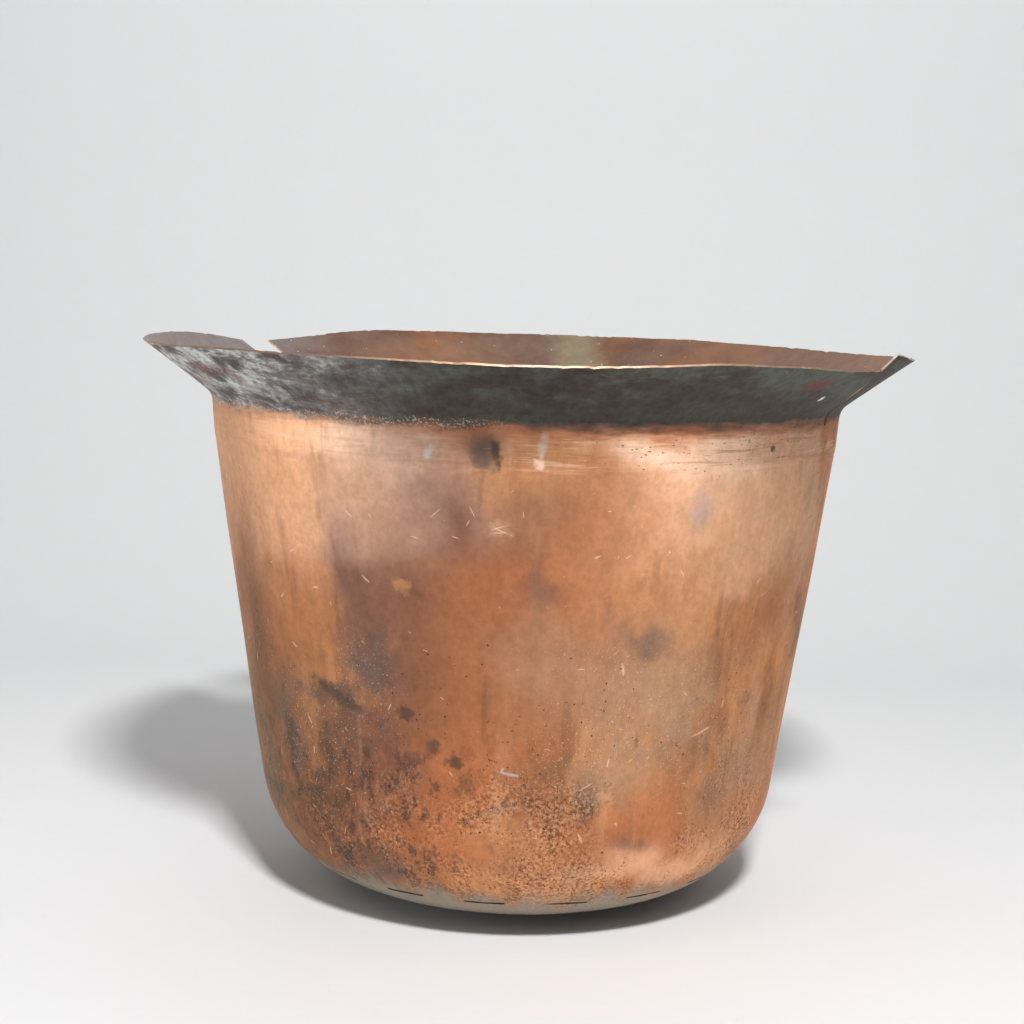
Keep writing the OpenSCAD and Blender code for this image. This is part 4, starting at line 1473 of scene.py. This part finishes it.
@made_once("materials", "cut_copper")
def cut_copper(name):
    """Cut edges: bright copper with painted pale glints, dulled in places."""
    finish = bpy.context.scene.boiler_finish
    material, tree, surface = new_material(name)
    across, _, height = parts(tree, surface)
    dirt = cloud(tree, surface, 34.0, 4.0)
    # Painted glints: pale highlight spots laid into the colour of the cut edges.
    painted_glint = step_up(tree, cloud(tree, surface, 140.0, 2.0), 0.58, 0.66)
    base = stain(tree, finish.sand, finish.umber, step_up(tree, dirt, 0.56, 0.72))
    base = stain(tree, base, finish.blush, painted_glint, 0.6)
    right = step_up(tree, across, 0.26, 0.29)
    base = stain(tree, base, finish.chalk, right, step_up(tree, dirt, 0.36, 0.50), 0.8)
    in_foot_seam = step_up(tree, height, 0.060, 0.048)
    in_seam = highest(tree, in_foot_seam, step_up(tree, height, 0.424, 0.412))
    base = stain(tree, base, finish.dirt, in_seam)
    rough = lerp(tree, in_seam, sums(tree, "ADD", 0.42, times(tree, dirt, 0.25)), 0.9)
    metal = lerp(tree, in_seam, 0.95, 0.1)
    on_shader(tree, base, rough, metal, times(tree, dirt, 0.5), 0.5, 0.0004)
    return material


def sheet_materials():
    """Materials of a sheet, in the order of OUTSIDE, INSIDE and CUT_EDGE."""
    return [worn_copper(), inside_copper(), cut_copper()]


@made_once("materials", "seam_brass")
def seam_brass(name):
    """Braze: tarnished brass, browned with the copper round it."""
    finish = bpy.context.scene.boiler_finish
    material, tree, surface = new_material(name)
    clouds = cloud(tree, surface, 60.0, 4.0)
    tarnish = step_up(tree, clouds, 0.40, 0.62)
    base = stain(tree, finish.brass, finish.umber, tarnish)
    rough = sums(tree, "ADD", 0.40, times(tree, clouds, 0.3))
    on_shader(tree, base, rough, lerp(tree, tarnish, 0.9, 0.6), clouds, 0.4, 0.0003)
    return material


@made_once("materials", "paper_white")
def paper_white(name):
    """The stage: plain pale paper."""
    material, tree, surface = new_material(name)
    tooth = cloud(tree, surface, 90.0, 2.0)
    base = blend(tree, tooth, *PAPER)
    on_shader(tree, base, sums(tree, "ADD", 0.7, times(tree, tooth, 0.1)), 0.0, tooth, 0.05)
    return material


# ---------------------------------------------------------------- stage

FLOOR_SIZE = 12.0
BACKDROP_PLACE, BACKDROP_HEIGHT, BACKDROP_BEND = 1.6, 6.0, 0.8
LIGHTS = (  # name, setting of its power, place, aim, size and tint
    ("key_light", "key_power", (1.50, -1.50, 0.27), (0, 0, 0.33), (0.8, 0.4), (1, 0.99, 0.98)),
    ("fill_light", "fill_power", (-1.74, -0.28, 0.32), (0, 0, 0.35), (1.4, 0.5), (1, 1, 1)),
    ("floor_light", "floor_power", (0.30, -1.95, 2.3), (0, -0.20, 0), (0.36, 0.24), (1, 1, 1)),
    ("back_light", "back_power", (0.0, 0.7, 2.6), (0, 1.6, 0.6), (1.8, 1.8), (1, 1, 1)),
)


def area_light(name, power, place, aim, size, tint):
    deselect_all()
    bpy.ops.object.light_add(type="AREA", location=place)
    light = bpy.context.object
    light.name = light.data.name = name
    light.data.shape = "RECTANGLE"
    light.data.size, light.data.size_y = size
    light.data.energy = power
    light.data.color = tint
    light.rotation_euler = (Vector(aim) - Vector(place)).to_track_quat("-Z", "Y").to_euler()


class BOILER_OT_stage(bpy.types.Operator):
    """Set up the pale floor, the soft lights and the camera"""

    bl_idname = "boiler.stage"
    bl_label = "Stage"

    def execute(self, context):
        stage = context.scene.boiler_stage
        self.make_camera(context, stage)
        self.make_floor()
        for name, power, *layout in LIGHTS:
            area_light(name, getattr(stage, power), *layout)
        world = bpy.data.worlds.new("pale_room")
        world.use_nodes = True
        background = world.node_tree.nodes["Background"]
        background.inputs["Color"].default_value = (1.0, 1.0, 1.0, 1.0)
        background.inputs["Strength"].default_value = stage.sky
        context.scene.world = world
        context.scene.view_settings.view_transform = "Standard"
        return {"FINISHED"}

    def make_camera(self, context, stage):
        deselect_all()
        bpy.ops.object.camera_add(location=(0, -stage.distance, stage.height))
        camera = context.object
        camera.name = camera.data.name = "camera"
        camera.data.lens = stage.lens
        camera.data.sensor_width = 36.0
        camera.data.clip_start = 0.01
        aim = Euler((math.pi / 2 - stage.pitch, 0, stage.yaw), "XYZ").to_matrix()
        roll = Euler((0, 0, stage.roll), "XYZ").to_matrix()
        camera.rotation_euler = (aim @ roll).to_euler()
        context.scene.camera = camera

    def make_floor(self):
        deselect_all()
        bpy.ops.mesh.primitive_plane_add(size=FLOOR_SIZE, location=(0, 0, 0))
        floor = bpy.context.object
        floor.name = floor.data.name = "floor"
        bpy.context.tool_settings.mesh_select_mode = (False, True, False)
        bpy.ops.object.mode_set(mode="EDIT")
        bpy.ops.mesh.select_all(action="DESELECT")
        bpy.ops.object.mode_set(mode="OBJECT")
        points = read_points(floor)
        points[:, 1] = np.where(points[:, 1] > 0, BACKDROP_PLACE, points[:, 1])
        write_points(floor, points)
        for edge in floor.data.edges:
            edge.select = all(points[v][1] > 0 for v in edge.vertices)
        bpy.ops.object.mode_set(mode="EDIT")
        up = {"value": (0, 0, BACKDROP_HEIGHT)}
        bpy.ops.mesh.extrude_region_move(TRANSFORM_OT_translate=up)
        bpy.ops.object.mode_set(mode="OBJECT")
        bend = {"width": BACKDROP_BEND, "segments": 24, "affect": "EDGES", "limit_method": "ANGLE"}
        apply_modifier(floor, "BEVEL", **bend)
        make_active(floor)
        bpy.ops.object.shade_smooth()
        floor.data.materials.append(paper_white())


# ---------------------------------------------------------------- add-on


OPERATORS = (BOILER_OT_side_sheets, BOILER_OT_bottom, BOILER_OT_braze, BOILER_OT_stage)


class BOILER_PT_panel(bpy.types.Panel):
    bl_label = "Copper Boiler"
    bl_idname = "BOILER_PT_panel"
    bl_space_type = "VIEW_3D"
    bl_region_type = "UI"
    bl_category = "Boiler"

    def draw(self, context):
        for operator in OPERATORS:
            self.layout.operator(operator.bl_idname)
        for name, _ in GROUPS:
            box = self.layout.box()
            group = getattr(context.scene, name)
            for key in group.bl_rna.properties.keys():
                if key not in ("rna_type", "name"):
                    box.prop(group, key)


GROUPS = (
    ("boiler_tub", BoilerTub),
    ("boiler_flange", BoilerFlange),
    ("boiler_seams", BoilerSeams),
    ("boiler_finish", BoilerFinish),
    ("boiler_stage", BoilerStage),
)
CLASSES = (*(group for _, group in GROUPS), *OPERATORS, BOILER_PT_panel)


def register():
    for made in CLASSES:
        bpy.utils.register_class(made)
    for name, group in GROUPS:
        setattr(bpy.types.Scene, name, bpy.props.PointerProperty(type=group))


def unregister():
    for name, _ in GROUPS:
        delattr(bpy.types.Scene, name)
    for made in reversed(CLASSES):
        bpy.utils.unregister_class(made)


def main():
    register()
    bpy.ops.boiler.stage()
    bpy.ops.boiler.side_sheets()
    bpy.ops.boiler.bottom()
    bpy.ops.boiler.braze()


if __name__ == "__main__":
    main()
